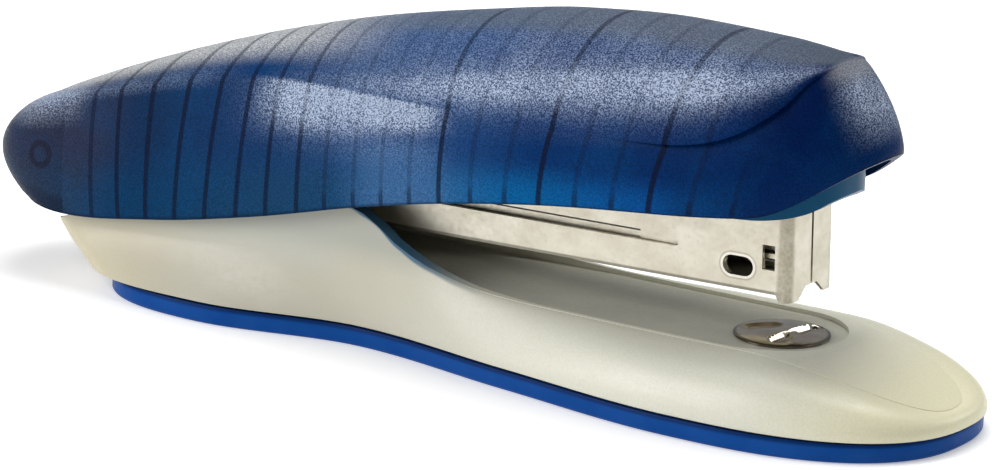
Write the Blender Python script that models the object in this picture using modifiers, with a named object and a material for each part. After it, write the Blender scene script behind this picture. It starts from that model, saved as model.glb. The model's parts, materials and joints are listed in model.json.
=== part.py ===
"""Full-strip desktop stapler: base, magazine, pusher, sprung cover and turning anvil.

+X points to the nose, +Y to the stapler's left, +Z up. The origin is on the table, under the middle of
the stapler's overall length. Sizes below are written in millimetres, and MM turns them into metres.
Base, anvil and cover pieces are drawn in the drawing frame, ORIGIN_X off the origin. Magazine and pusher pieces are drawn in the
magazine's own frame: its origin is the hinge pin, and its X axis runs along the magazine's bottom.
"""
from math import atan2, cos, hypot, pi, radians, sin, sqrt

import bmesh
import bpy
from mathutils import Matrix, Vector

MM = 0.001
GAP = 0.3

# The drawing's X = 0 is this far from the middle of the overall length, where the origin is
ORIGIN_X = 0.8

# Hinge pin, about which the magazine and the cover turn
PIVOT = (-80.9, 0.0, 21.8)
PIN_RADIUS = 1.6
PIN_HALF_LENGTH = 12.4
PIN_HOLE_RADIUS = 1.9
MAGAZINE_PITCH_DEG = 1.42

# Base
BASE_FRONT_X = 95.9
BASE_REAR_X = -68.4
SHELL_REAR_X = -74.0
RIM_REAR_X = -81.0
RIM_FRONT_X = 94.0
SHELL_FRONT_X = 97.2
SOLE_HEIGHT = 3.2
SOLE_LEDGE = 0.6
SHELL_BOTTOM_Z = SOLE_HEIGHT + GAP
FLOOR_Z = 12.4
TRAY_HALF = 13.1
TRAY_FRONT_X = 71.5
WALL_INNER = 11.8
RELIEF_RADIUS = 12.0
CAVITY_TOP_Z = 9.4

# Anvil
ANVIL_X = 61.3
ANVIL_RADIUS = 8.1
ANVIL_TOP_Z = 13.5
STEM_RADIUS = 3.0

# Cover
COVER_WALL = 2.0
COVER_HALF_WIDTH = 17.0
COVER_BOTTOM_REAR_X = -89.3
COVER_BOTTOM_FRONT_X = 80.3
CREASE_REAR_X = -85.6
CREASE_FRONT_X = 71.6
REAR_BULGE = 7.6
FRONT_BULGE = 1.6
SIDE_BULGE = 1.0
BOSS_RADIUS = 3.2
LINER_REAR_X = 52.0
LINER_FRONT_X = 73.0
LINER_HALF_WIDTH = 13.9
LINER_WALL = 1.3
SCREW_XS = (-20.0, 30.0)

# Handle frame, driver and springs on the cover
FRAME_OUTER = 8.4
FRAME_INNER = 7.6
FRAME_SHEET = 0.9
FRAME_REAR_TOP = (-74.0, 31.2)
FRAME_FRONT_TOP = (63.2, 49.0)
DRIVER_INNER_RADIUS = 145.55
DRIVER_OUTER_RADIUS = 146.05
DRIVER_HALF_WIDTH = 6.2
DRIVER_TIP_DEG = 2.76
DRIVER_TOP_DEG = 10.15
DRIVER_RIVET_Z = 46.0

# Magazine, in its own frame
CHANNEL_OUTER = 7.2
CHANNEL_SHEET = 0.7
CHANNEL_FRONT = 147.2
CHANNEL_BOTTOM = -4.1
CHANNEL_TOP_FRONT = 9.2
CORNER_RADIUS = 1.6
FOOT_DROP = 1.2
RAIL_HALF_WIDTH = 5.7
RAIL_SHEET = 0.8
RAIL_TOP = 2.3
RAIL_REAR = 10.0
RAIL_FRONT = 145.2
RAIL_PIN_S = 13.0
SLOT_ENDS = (58.0, 126.1)
SLOT_HEIGHTS = (1.2, 3.04)
OVAL_ENDS = (134.5, 140.3)
OVAL_HEIGHTS = (-1.85, 1.45)
WINDOW_ENDS = (142.0, 144.4)
WINDOW_HEIGHTS = (-0.1, 4.1)
ROD_Z = 4.8
ROD_RADIUS = 0.9
PUSHER_REAR = 118.0
PUSHER_FRONT = 132.0

# Shapes along the length: (x, value) knots that smooth() joins
BASE_HALF_WIDTHS = ((-69, 21.6), (-42, 22.0), (-12, 16.4), (20, 21.4), (55, 26.0), (96, 26.0))
RIM_HEIGHTS = ((-90, 19.5), (-66, 20.0), (-48, 23.0), (-30, 24.0), (-19, 24.0), (-13, 22.8), (-5.7, 18.4),
               (2, 15.4), (11.5, 13.6), (23, 13.1), (45, 13.0), (64, 13.1), (78, 11.2), (87, 8.7), (94, 6.3))
RIM_HALF_WIDTHS = ((-90, 13.4), (-55, 13.4), (-40, 14.2), (-8, 14.2), (30, 13.8), (96, 13.8))
SHOULDER_HALF_WIDTHS = ((-90, 14.6), (-58, 14.6), (-35, 14.7), (-8, 14.3), (30, 13.8), (96, 13.8))
BULGE_POWERS = ((-30, 1.3), (20, 1.5), (45, 2.0), (75, 2.0), (92, 2.5))
FLARE_POWER = 1.4
COVER_EDGE_HEIGHTS = ((-89, 13.2), (-74, 12.4), (-55, 14.7), (-34, 19.0), (-11, 24.9), (6, 28.5),
                      (26, 31.7), (55, 34.9), (64, 36.2), (80.3, 46.0))
CREASE_HALF_WIDTHS = ((-79, 12.6), (-60, 13.2), (-34, 14.8), (0, 16.4), (25, 17.0), (71, 17.0))
CREASE_HEIGHTS = ((-86, 29.6), (-79, 31.4), (-62, 36.3), (-44, 41.0), (-33, 42.9), (4, 43.9),
                  (25, 44.6), (47, 45.8), (53.4, 46.9), (58.9, 48.9), (65.8, 53.9), (69.0, 57.9),
                  (71.6, 60.6))
TOP_HEIGHTS = ((-86, 29.6), (-82, 31.7), (-63, 39.6), (-42, 47.0), (-21, 53.0), (0, 57.5), (19, 60.8),
               (40, 62.4), (57, 62.1), (71.6, 60.6))
LINER_EDGE_HEIGHTS = ((50, 34.4), (62, 34.9), (66, 35.4), (70, 36.5), (73, 38.6))
STEP_DEPTHS = ((36, 0.0), (56, 1.3), (66, 1.1), (71, 0.0))
DOME_POWERS = ((-60, 1.0), (-33, 1.15), (6, 1.9), (30, 2.0))


# ---------------------------------------------------------------- curves and numbers

def smooth(knots, x):
    """Value at x of the curve through the knots, which never overshoots them."""
    if x <= knots[0][0]:
        return knots[0][1]
    if x >= knots[-1][0]:
        return knots[-1][1]
    spans = [b[0] - a[0] for a, b in zip(knots, knots[1:])]
    slopes = [(b[1] - a[1]) / (b[0] - a[0]) for a, b in zip(knots, knots[1:])]
    tangents = [slopes[0]]
    for before, after in zip(slopes, slopes[1:]):
        same_way = before * after > 0
        tangents.append(2 * before * after / (before + after) if same_way else 0.0)
    tangents.append(slopes[-1])
    index = next(i for i in range(len(spans)) if x <= knots[i + 1][0])
    t = (x - knots[index][0]) / spans[index]
    value = (2 * t**3 - 3 * t**2 + 1) * knots[index][1]
    value += (t**3 - 2 * t**2 + t) * spans[index] * tangents[index]
    value += (3 * t**2 - 2 * t**3) * knots[index + 1][1]
    value += (t**3 - t**2) * spans[index] * tangents[index + 1]
    return value


def end_round(x, start, end, power):
    """1 up to start, then falling to 0 at end along a superellipse."""
    t = min(max((x - start) / (end - start), 0.0), 1.0)
    return (1 - t**power) ** (1 / power)


def cosine_steps(count):
    """Fractions from 0 to 1, crowded at both ends."""
    return [(1 - cos(pi * i / count)) / 2 for i in range(count + 1)]


def mix(a, b, t):
    return a + (b - a) * t


def arc(centre, radius, start_deg, end_deg, steps):
    """Points on a circle, both ends included."""
    angles = [radians(mix(start_deg, end_deg, i / steps)) for i in range(steps + 1)]
    return [(centre[0] + radius * cos(a), centre[1] + radius * sin(a)) for a in angles]


def slot_outline(ends, heights, steps=8):
    """A long hole with round ends."""
    radius = (heights[1] - heights[0]) / 2
    middle = (heights[1] + heights[0]) / 2
    front = arc((ends[1] - radius, middle), radius, -90, 90, steps)
    rear = arc((ends[0] + radius, middle), radius, 90, 270, steps)
    return front + rear


def magazine_point(s, y, z):
    """World place of a point that is drawn in the magazine's frame."""
    pitch = radians(MAGAZINE_PITCH_DEG)
    return (PIVOT[0] + s * cos(pitch) - z * sin(pitch), y, PIVOT[2] + s * sin(pitch) + z * cos(pitch))


# ---------------------------------------------------------------- scene, bodies and materials

def clear_scene():
    for obj in list(bpy.data.objects):
        bpy.data.objects.remove(obj)


def new_collection(name):
    collection = bpy.data.collections.new(name)
    bpy.context.scene.collection.children.link(collection)
    return collection


class Body:
    """A moving group: its empty stands on its joint, and pieces are drawn relative to offset."""

    def __init__(self, name, location, offset, parent=None, turn_y_deg=0.0):
        self.empty = bpy.data.objects.new(name, None)
        shift = 0.0 if parent else ORIGIN_X
        self.empty.location = Vector((location[0] - shift, location[1], location[2])) * MM
        self.empty.rotation_euler = (0, radians(turn_y_deg), 0)
        self.empty.empty_display_size = 10 * MM
        self.offset = Vector(offset) * MM
        if parent:
            self.empty.parent = parent.empty
        PARTS.objects.link(self.empty)


def principled(name, color, roughness, metallic=0.0, transmission=0.0):
    material = bpy.data.materials.new(name)
    material.use_nodes = True
    shader = material.node_tree.nodes["Principled BSDF"]
    shader.inputs["Base Color"].default_value = (*color, 1.0)
    shader.inputs["Roughness"].default_value = roughness
    shader.inputs["Metallic"].default_value = metallic
    shader.inputs["Transmission Weight"].default_value = transmission
    material.diffuse_color = (*color, 1.0)
    return material


def add_object(name, mesh, body, look=None):
    """Links a mesh to its body; without a look it is a cutter."""
    mesh.transform(Matrix.Translation(-body.offset))
    obj = bpy.data.objects.new(name, mesh)
    obj.parent = body.empty
    if look:
        mesh.materials.append(principled(name, *look))
        mesh.shade_smooth()
        mesh.set_sharp_from_angle(angle=radians(32))
        PARTS.objects.link(obj)
    else:
        obj.hide_render = True
        obj.display_type = "WIRE"
        CUTTERS.objects.link(obj)
    return obj


def boolean(target, tool, operation="DIFFERENCE"):
    modifier = target.modifiers.new(tool.name, "BOOLEAN")
    modifier.operation = operation
    modifier.solver = "EXACT"
    modifier.object = tool


# ---------------------------------------------------------------- mesh makers

def mesh_from(bm, name):
    bmesh.ops.remove_doubles(bm, verts=bm.verts, dist=0.01 * MM)
    bmesh.ops.recalc_face_normals(bm, faces=bm.faces)
    mesh = bpy.data.meshes.new(name)
    bm.to_mesh(mesh)
    bm.free()
    return mesh


def box(name, low, high, body, look=None):
    bm = bmesh.new()
    size = [(b - a) * MM for a, b in zip(low, high)]
    centre = [(a + b) / 2 * MM for a, b in zip(low, high)]
    bmesh.ops.create_cube(bm, size=1.0, matrix=Matrix.Translation(centre) @ Matrix.Diagonal((*size, 1)))
    return add_object(name, mesh_from(bm, name), body, look)


def cylinder(name, radius, start, end, body, look=None, segments=32):
    """A round bar from one point to another."""
    bm = bmesh.new()
    way = Vector(end) - Vector(start)
    turn = way.to_track_quat("Z", "Y").to_matrix().to_4x4()
    place = Matrix.Translation((Vector(start) + way / 2) * MM) @ turn
    bmesh.ops.create_cone(bm, cap_ends=True, segments=segments, radius1=radius * MM, radius2=radius * MM,
                          depth=way.length * MM, matrix=place)
    return add_object(name, mesh_from(bm, name), body, look)


def ellipsoid(name, centre, radii, body):
    """A rounded cutter for a dent."""
    bm = bmesh.new()
    place = Matrix.Translation(Vector(centre) * MM) @ Matrix.Diagonal((*[r * MM for r in radii], 1))
    bmesh.ops.create_uvsphere(bm, u_segments=14, v_segments=8, radius=1.0, matrix=place)
    return add_object(name, mesh_from(bm, name), body)


def outline_mesh(name, outline, half_thickness):
    """A flat outline, filled and given a thickness: a 2D curve turned into a mesh."""
    curve = bpy.data.curves.new(name, "CURVE")
    curve.dimensions = "2D"
    curve.fill_mode = "BOTH"
    curve.extrude = half_thickness * MM
    spline = curve.splines.new("POLY")
    spline.points.add(len(outline) - 1)
    for point, (x, y) in zip(spline.points, outline):
        point.co = (x * MM, y * MM, 0, 1)
    spline.use_cyclic_u = True
    source = bpy.data.objects.new(name, curve)
    PARTS.objects.link(source)
    bpy.context.view_layer.update()
    evaluated = source.evaluated_get(bpy.context.evaluated_depsgraph_get())
    flat = bpy.data.meshes.new_from_object(evaluated)
    bpy.data.objects.remove(source)
    bm = bmesh.new()
    bm.from_mesh(flat)
    bpy.data.meshes.remove(flat)
    return mesh_from(bm, name)


def side_plate(name, outline, half_width, body, look=None, middle_y=0.0):
    """An (x, z) outline made half_width thick to each side of middle_y."""
    mesh = outline_mesh(name, outline, half_width)
    mesh.transform(Matrix.Translation((0, middle_y * MM, 0)) @ Matrix.Rotation(pi / 2, 4, "X"))
    return add_object(name, mesh, body, look)


def floor_plate(name, outline, low_z, high_z, body, look=None):
    """An (x, y) outline raised from low_z to high_z."""
    mesh = outline_mesh(name, outline, (high_z - low_z) / 2)
    mesh.transform(Matrix.Translation((0, 0, (high_z + low_z) / 2 * MM)))
    return add_object(name, mesh, body, look)


def turned(name, profile, centre, axis, body, look, steps=32):
    """A turned piece: (radius, height) points from the top of the axis to its bottom."""
    mesh = bpy.data.meshes.new(name)
    points = [(r * MM, 0, h * MM) for r, h in profile]
    mesh.from_pydata(points, [(i, i + 1) for i in range(len(points) - 1)], [])
    obj = add_object(name, mesh, body, look)
    obj.location = Vector(centre) * MM - body.offset
    mesh.transform(Matrix.Translation(body.offset))
    obj.rotation_euler = Vector(axis).to_track_quat("Z", "Y").to_euler()
    screw = obj.modifiers.new("turn", "SCREW")
    screw.steps = steps
    screw.render_steps = steps
    screw.use_merge_vertices = True
    screw.merge_threshold = 0.00001
    screw.use_smooth_shade = True
    return obj


def rivet(name, head_radius, shank_radius, top, bottom, head, centre, axis, body, look):
    """A shank between two flat heads; top and bottom are the outer faces along the axis."""
    profile = [(0, top), (head_radius * 0.8, top), (head_radius, top - head * 0.4),
               (head_radius, top - head), (shank_radius, top - head), (shank_radius, bottom + head),
               (head_radius, bottom + head), (head_radius, bottom + head * 0.4),
               (head_radius * 0.8, bottom), (0, bottom)]
    return turned(name, profile, centre, axis, body, look, steps=14)


def strip_outline(path, thickness):
    """Outline of a strip of even thickness below the path, an (x, z) line."""
    lower = []
    for i, (x, z) in enumerate(path):
        before = path[max(i - 1, 0)]
        after = path[min(i + 1, len(path) - 1)]
        length = hypot(after[0] - before[0], after[1] - before[1])
        lower.append((x + (after[1] - before[1]) / length * thickness,
                      z - (after[0] - before[0]) / length * thickness))
    return list(path) + lower[::-1]


def full_ring(half):
    """A half section, y at least 0, completed with its mirror image."""
    near = [(x, -y, z) for x, y, z in half]
    far = [(x, y, z) for x, y, z in half[::-1]]
    return near + far[1:]


def grid_faces(bm, rings, closed=False):
    rows = [[bm.verts.new(Vector(p) * MM) for p in ring] for ring in rings]
    for row, following in zip(rows, rows[1:]):
        last = len(row) if closed else len(row) - 1
        for j in range(last):
            k = (j + 1) % len(row)
            bm.faces.new((row[j], row[k], following[k], following[j]))
    return rows


def border(bm, first, second):
    """Joins two equally long rows of vertices with faces."""
    for j in range(len(first) - 1):
        bm.faces.new((first[j], first[j + 1], second[j + 1], second[j]))


def open_shell(name, outer, inner, body, look):
    """Two grids of half sections whose ends close on the middle plane, joined along their edge."""
    bm = bmesh.new()
    out_rows = grid_faces(bm, [full_ring(half) for half in outer])
    in_rows = grid_faces(bm, [full_ring(half) for half in inner])
    border(bm, [row[0] for row in out_rows], [row[0] for row in in_rows])
    border(bm, [row[-1] for row in out_rows], [row[-1] for row in in_rows])
    return add_object(name, mesh_from(bm, name), body, look)


def thick_sheet(name, outer, inner, body, look):
    """Two grids of points joined along all four sides."""
    bm = bmesh.new()
    out_rows = grid_faces(bm, outer)
    in_rows = grid_faces(bm, inner)
    border(bm, out_rows[0], in_rows[0])
    border(bm, out_rows[-1], in_rows[-1])
    border(bm, [row[0] for row in out_rows], [row[0] for row in in_rows])
    border(bm, [row[-1] for row in out_rows], [row[-1] for row in in_rows])
    return add_object(name, mesh_from(bm, name), body, look)


def hull(name, halves, body, look):
    """A closed solid from half sections that run from the bottom middle to the top middle."""
    bm = bmesh.new()
    grid_faces(bm, [full_ring(half)[:-1] for half in halves], closed=True)
    bmesh.ops.remove_doubles(bm, verts=bm.verts, dist=0.01 * MM)
    return add_object(name, mesh_from(bm, name), body, look)


# ---------------------------------------------------------------- base

def base_outline_point(t, inset=0.0, rear_x=BASE_REAR_X, front_x=BASE_FRONT_X):
    """Half width of the base's footprint at the fraction t of its length."""
    x = mix(rear_x + inset, front_x - inset, t)
    width = smooth(BASE_HALF_WIDTHS, x) - inset
    width *= end_round(x, rear_x + 27, rear_x + inset, 2.8)
    width *= end_round(x, 58, front_x - inset, 2.4)
    return x, width


def wall_foot_height(x):
    """How low the cover's edge comes when everything is pressed down, or the rim where that is lower."""
    swept = smooth(COVER_EDGE_HEIGHTS, x) - (x - PIVOT[0]) * 0.1 - 0.6
    return min(swept, smooth(RIM_HEIGHTS, x) - 0.1)


def base_section(t):
    """Half section of the base hull, from the bottom middle up the side to the top middle."""
    foot_x, foot_y = base_outline_point(t, SOLE_LEDGE, SHELL_REAR_X, SHELL_FRONT_X)
    rim_x = mix(RIM_REAR_X, RIM_FRONT_X, t)
    rounding = end_round(rim_x, -74, RIM_REAR_X, 2.6) * end_round(rim_x, 62, RIM_FRONT_X, 2.3)
    rim_y = smooth(RIM_HALF_WIDTHS, rim_x) * rounding
    shoulder_y = smooth(SHOULDER_HALF_WIDTHS, rim_x) * rounding
    rim_z = smooth(RIM_HEIGHTS, rim_x)
    wall_z = wall_foot_height(rim_x)
    power = smooth(BULGE_POWERS, rim_x)
    bulging = smooth(((-25, 0.0), (25, 1.0)), rim_x)
    section = [(foot_x, 0.0, SHELL_BOTTOM_Z), (foot_x, foot_y / 2, SHELL_BOTTOM_Z)]
    steps = 7
    for i in range(steps + 1):
        angle = pi / 2 * i / steps
        up = sin(angle) ** (2 / power)
        out = mix((1 - up) ** FLARE_POWER, cos(angle) ** (2 / power), bulging)
        section.append((mix(rim_x, foot_x, out), mix(shoulder_y, foot_y, out),
                        mix(SHELL_BOTTOM_Z, wall_z, up)))
    section.append((rim_x, rim_y, rim_z))
    crown = 0.5 * end_round(rim_x, 62, RIM_FRONT_X, 2.2)
    for out in (0.75, 0.4, 0.0):
        section.append((rim_x, rim_y * out, rim_z + crown * (1 - out**2)))
    return section


def tray_outline():
    """The channel between the walls and the tray in front of it, with a round front end."""
    half = [(-100, WALL_INNER), (-8, WALL_INNER), (22, TRAY_HALF), (58, TRAY_HALF)]
    steps = 10
    for i in range(1, steps + 1):
        angle = pi / 2 * i / steps
        half.append((58 + (TRAY_FRONT_X - 58) * sin(angle), TRAY_HALF * cos(angle) ** 0.8 if i < steps else 0.0))
    return half + [(x, -y) for x, y in half[-2::-1]]


def make_base(body):
    plastic = ((0.72, 0.70, 0.60), 0.38)
    shell = hull("base_shell", [base_section(t) for t in cosine_steps(36)], body, plastic)
    boolean(shell, floor_plate("tray_cutter", tray_outline(), FLOOR_Z, 45, body))
    boolean(shell, box("rear_opening_cutter", (-100, -WALL_INNER, 7.0), (-71, WALL_INNER, 45), body))
    boolean(shell, cylinder("hinge_relief_cutter", RELIEF_RADIUS, (PIVOT[0], -40, PIVOT[2]),
                            (PIVOT[0], 40, PIVOT[2]), body, segments=64))
    cavity = [(mix(-56, 72, t), 0.72 * smooth(BASE_HALF_WIDTHS, mix(-56, 72, t))
               * end_round(mix(-56, 72, t), -46, -56, 2.4) * end_round(mix(-56, 72, t), 56, 72, 2.4))
              for t in cosine_steps(22)]
    cavity_outline = cavity + [(x, -y) for x, y in cavity[-2:0:-1]]
    boolean(shell, floor_plate("cavity_cutter", cavity_outline, -1, CAVITY_TOP_Z, body))
    boolean(shell, cylinder("stem_hole_cutter", STEM_RADIUS + 0.4, (ANVIL_X, 0, 5), (ANVIL_X, 0, 20), body))
    for name, x, y, _ in RIVETS:
        boolean(shell, cylinder(name + "_floor_cutter", 1.5, (x, y, 5), (x, y, 20), body, segments=20))
    sole_steps = cosine_steps(36)
    rings = []
    for inset, z in ((0.7, 0.0), (0.0, 0.7), (0.0, SOLE_HEIGHT)):
        rings.append([(x, y, z) for x, y in (base_outline_point(t, inset) for t in sole_steps)])
    sections = []
    for lower, middle, upper in zip(*rings):
        sections.append([(lower[0], 0.0, 0.0), (lower[0], lower[1] / 2, 0.0), lower, middle, upper,
                         (upper[0], upper[1] / 2, SOLE_HEIGHT), (upper[0], 0.0, SOLE_HEIGHT)])
    hull("base_sole", sections, body, ((0.005, 0.03, 0.36), 0.45))


RIVETS = (("bracket_rivet_rear", -50.0, 0.0, 15.75), ("bracket_rivet_near", -32.0, -6.8, 15.0),
          ("bracket_rivet_far", -32.0, 6.8, 15.0))
BRACKET_OUTER = 10.4
BRACKET_INNER = 9.2
BRACKET_PLATE = (12.7, 13.9)


def make_hinge(body):
    steel = ((0.55, 0.55, 0.56), 0.3, 1.0)
    px, pz = PIVOT[0], PIVOT[2]
    outline = arc((px, pz), 5.0, 60, 250, 14)
    outline += [(-75.0, 16.4), (-69.0, BRACKET_PLATE[0]), (-24.0, BRACKET_PLATE[0]), (-24.0, 15.2), (-56.0, 16.2),
                (-64.0, 19.0)]
    bracket = side_plate("hinge_bracket", outline, BRACKET_OUTER, body, steel)
    inside = [(-95, 5), (-69, 5), (-69, BRACKET_PLATE[1]), (0, BRACKET_PLATE[1]), (0, 40), (-95, 40)]
    boolean(bracket, side_plate("bracket_inside_cutter", inside, BRACKET_INNER, body))
    boolean(bracket, cylinder("bracket_pin_cutter", PIN_HOLE_RADIUS, (px, -20, pz), (px, 20, pz), body))
    for name, x, y, top in RIVETS:
        boolean(bracket, cylinder(name + "_plate_cutter", 1.5, (x, y, 12), (x, y, 15), body, segments=20))
        rivet(name, 2.2 if y == 0 else 2.0, 1.2, top, 8.1, 1.0, (x, y, 0), (0, 0, 1), body, steel)
    end = PIN_HALF_LENGTH
    pin_profile = [(0, end), (PIN_RADIUS - 0.3, end), (PIN_RADIUS, end - 0.3), (PIN_RADIUS, 0.3 - end),
                   (PIN_RADIUS - 0.3, -end), (0, -end)]
    turned("hinge_pin", pin_profile, PIVOT, (0, 1, 0), body, steel)
    flat = BRACKET_PLATE[1] + GAP + 0.5
    path = [(-56.0, flat), (-44.0, flat), (-40.0, flat + 0.3), (-34.0, flat + 1.6), (-28.0, 17.6),
            (-24.0, 18.4), (-21.0, 18.5), (-18.5, 18.1)]
    spring = side_plate("return_spring", strip_outline(path, 0.5), 4.4, body, ((0.4, 0.42, 0.45), 0.25, 1.0))
    boolean(spring, cylinder("return_spring_hole_cutter", 1.5, (-50, 0, 12), (-50, 0, 17), body))


# ---------------------------------------------------------------- anvil

def make_anvil(body):
    chrome = ((0.75, 0.74, 0.73), 0.12, 1.0)
    z = FLOOR_Z + GAP
    profile = [(0, ANVIL_TOP_Z), (ANVIL_RADIUS - 0.9, ANVIL_TOP_Z), (ANVIL_RADIUS - 0.2, ANVIL_TOP_Z - 0.2),
               (ANVIL_RADIUS, ANVIL_TOP_Z - 0.5), (ANVIL_RADIUS, z), (STEM_RADIUS, z), (STEM_RADIUS, 8.7),
               (2.3, 8.7), (2.3, 7.3), (STEM_RADIUS, 7.3), (STEM_RADIUS, 5.4), (2.5, 5.0), (0, 5.0)]
    anvil = turned("anvil", profile, (ANVIL_X, 0, 0), (0, 0, 1), body, chrome, steps=36)
    for side in (-1, 1):
        dents = (("staple_dent", 3.3, 3.5, 1.5, 3.0), ("pin_dent", -3.4, 2.2, 1.5, 2.0))
        for label, x, y, half_x, half_y in dents:
            place = (ANVIL_X + x, side * y, ANVIL_TOP_Z + 0.25)
            boolean(anvil, ellipsoid(f"{label}_{'far' if side > 0 else 'near'}_cutter", place,
                                     (half_x, half_y, 0.75), body))
    clip = cylinder("anvil_clip", 5.0, (ANVIL_X, 0, 7.6), (ANVIL_X, 0, 8.4), body, chrome)
    boolean(clip, cylinder("anvil_clip_cutter", 2.6, (ANVIL_X, 0, 5), (ANVIL_X, 0, 10), body))


# ---------------------------------------------------------------- magazine and pusher

def channel_plan(half_width, front, radius):
    """Plan of the channel: square at the rear and round at the two front corners."""
    far = arc((front - radius, half_width - radius), radius, 0, 90, 6)
    near = arc((front - radius, radius - half_width), radius, -90, 0, 6)
    return near + far + [(-12, half_width), (-12, -half_width)]


def make_magazine(body):
    nickel = ((0.66, 0.62, 0.54), 0.28, 1.0)
    steel = ((0.55, 0.55, 0.56), 0.3, 1.0)
    outer, sheet, front, bottom = CHANNEL_OUTER, CHANNEL_SHEET, CHANNEL_FRONT, CHANNEL_BOTTOM
    foot = bottom - FOOT_DROP
    profile = arc((0, 0), -bottom, 110, 270, 10)
    profile += [(front - 2.6, bottom), (front - 1.9, foot), (front + 2, foot),
                (front + 2, CHANNEL_TOP_FRONT), (30, 8.5), (8, 4.6)]
    channel = side_plate("magazine_channel", profile, outer + 2, body, nickel)
    boolean(channel, floor_plate("channel_corner_tool", channel_plan(outer, front, CORNER_RADIUS),
                                 -12, 20, body), "INTERSECT")
    boolean(channel, floor_plate("channel_inside_cutter",
                                 channel_plan(outer - sheet, front - sheet, CORNER_RADIUS - sheet),
                                 bottom + sheet, 20, body))
    boolean(channel, box("staple_exit_cutter", (front - 5.6, sheet - outer, -9),
                         (front - sheet, outer - sheet, 0), body))
    boolean(channel, box("front_split_cutter", (front - 2, -0.3, -9), (front + 1, 0.3, 20), body))
    notch = [(-4.4, foot - 1), (4.4, foot - 1), (4.0, foot + 0.2), (1.8, bottom + 0.8), (-1.8, bottom + 0.8),
             (-4.0, foot + 0.2)]
    notch_mesh = outline_mesh("front_notch_cutter", notch, 1.5)
    notch_mesh.transform(Matrix.Translation(((front - 0.3) * MM, 0, 0)) @ Matrix.Rotation(pi / 2, 4, "Z")
                         @ Matrix.Rotation(pi / 2, 4, "X"))
    boolean(channel, add_object("front_notch_cutter", notch_mesh, body))
    boolean(channel, side_plate("slot_cutter", slot_outline(SLOT_ENDS, SLOT_HEIGHTS), 10, body))
    boolean(channel, side_plate("oval_cutter", slot_outline(OVAL_ENDS, OVAL_HEIGHTS), 10, body))
    boolean(channel, box("window_cutter", (WINDOW_ENDS[0], -10, WINDOW_HEIGHTS[0]),
                         (WINDOW_ENDS[1], 10, WINDOW_HEIGHTS[1]), body))
    boolean(channel, cylinder("channel_pin_cutter", PIN_HOLE_RADIUS, (0, -20, 0), (0, 20, 0), body))
    boolean(channel, cylinder("channel_rail_pin_cutter", 1.5, (RAIL_PIN_S, -20, -0.6),
                              (RAIL_PIN_S, 20, -0.6), body))

    wall = RAIL_HALF_WIDTH - RAIL_SHEET
    rail = box("staple_rail", (RAIL_REAR, -RAIL_HALF_WIDTH, bottom + 1.0),
               (RAIL_FRONT, RAIL_HALF_WIDTH, RAIL_TOP), body, nickel)
    boolean(rail, box("rail_inside_cutter", (0, -wall, -9), (141.2, wall, RAIL_TOP - RAIL_SHEET), body))
    boolean(rail, box("rail_nose_cutter", (141.2, -9, -9), (150, 9, RAIL_TOP - RAIL_SHEET), body))
    boolean(rail, side_plate("rail_oval_cutter", slot_outline((133.9, 140.9), (-2.3, 1.4)), 10, body))
    boolean(rail, cylinder("rail_pin_hole_cutter", 1.5, (RAIL_PIN_S, -20, -0.6), (RAIL_PIN_S, 20, -0.6), body))
    cylinder("rail_pin", 1.2, (RAIL_PIN_S, -7.25, -0.6), (RAIL_PIN_S, 7.25, -0.6), body, steel)

    block_outline = arc((0, 0), 3.2, 180, 260, 6) + [(8.5, -3.1), (8.5, 6.6), (-0.3, 6.6), (-3.2, 4.0)]
    block = side_plate("tail_block", block_outline, 6.2, body, ((0.03, 0.03, 0.035), 0.5))
    boolean(block, cylinder("block_pin_cutter", PIN_HOLE_RADIUS, (0, -20, 0), (0, 20, 0), body))
    boolean(block, cylinder("block_rod_cutter", ROD_RADIUS + GAP, (3, 0, ROD_Z), (12, 0, ROD_Z), body,
                            segments=20))
    cylinder("pusher_rod", ROD_RADIUS, (3.4, 0, ROD_Z), (143.6, 0, ROD_Z), body, steel, segments=20)
    make_spring(body, steel)


def make_spring(body, look):
    """The pusher's compression spring, wound round its rod."""
    turns, per_turn, radius, wire = 18, 8, 1.65, 0.22
    start, end = 9.0, PUSHER_REAR - 0.5
    curve = bpy.data.curves.new("pusher_spring", "CURVE")
    curve.dimensions = "3D"
    curve.bevel_depth = wire * MM
    curve.bevel_resolution = 1
    curve.use_fill_caps = True
    spline = curve.splines.new("POLY")
    count = turns * per_turn
    spline.points.add(count)
    for i in range(count + 1):
        angle = 2 * pi * i / per_turn
        place = (mix(start, end, i / count), radius * cos(angle), ROD_Z + radius * sin(angle))
        spline.points[i].co = (*[v * MM for v in place], 1)
    source = bpy.data.objects.new("pusher_spring_curve", curve)
    PARTS.objects.link(source)
    bpy.context.view_layer.update()
    evaluated = source.evaluated_get(bpy.context.evaluated_depsgraph_get())
    wound = bpy.data.meshes.new_from_object(evaluated)
    bpy.data.objects.remove(source)
    bm = bmesh.new()
    bm.from_mesh(wound)
    bpy.data.meshes.remove(wound)
    bm_mesh = mesh_from(bm, "pusher_spring")
    add_object("pusher_spring", bm_mesh, body, look)


def make_pusher(body):
    steel = ((0.6, 0.59, 0.57), 0.3, 1.0)
    rear, front = PUSHER_REAR, PUSHER_FRONT
    pusher = box("pusher", (rear, -6.2, -2.8), (front, 6.2, 3.9), body, steel)
    boolean(pusher, box("pusher_saddle_cutter", (rear - 1, -5.95, -9), (front + 1, 5.95, 2.6), body))
    boolean(pusher, box("pusher_hump_tool", (rear, -3.4, 3.4), (front, 3.4, 7.0), body), "UNION")
    boolean(pusher, box("pusher_tongue_tool", (front - 1, -4.6, 2.6), (144.0, 4.6, 3.5), body), "UNION")
    boolean(pusher, cylinder("pusher_rod_cutter", 1.2, (rear - 2, 0, ROD_Z), (150, 0, ROD_Z), body,
                             segments=20))


# ---------------------------------------------------------------- cover

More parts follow.
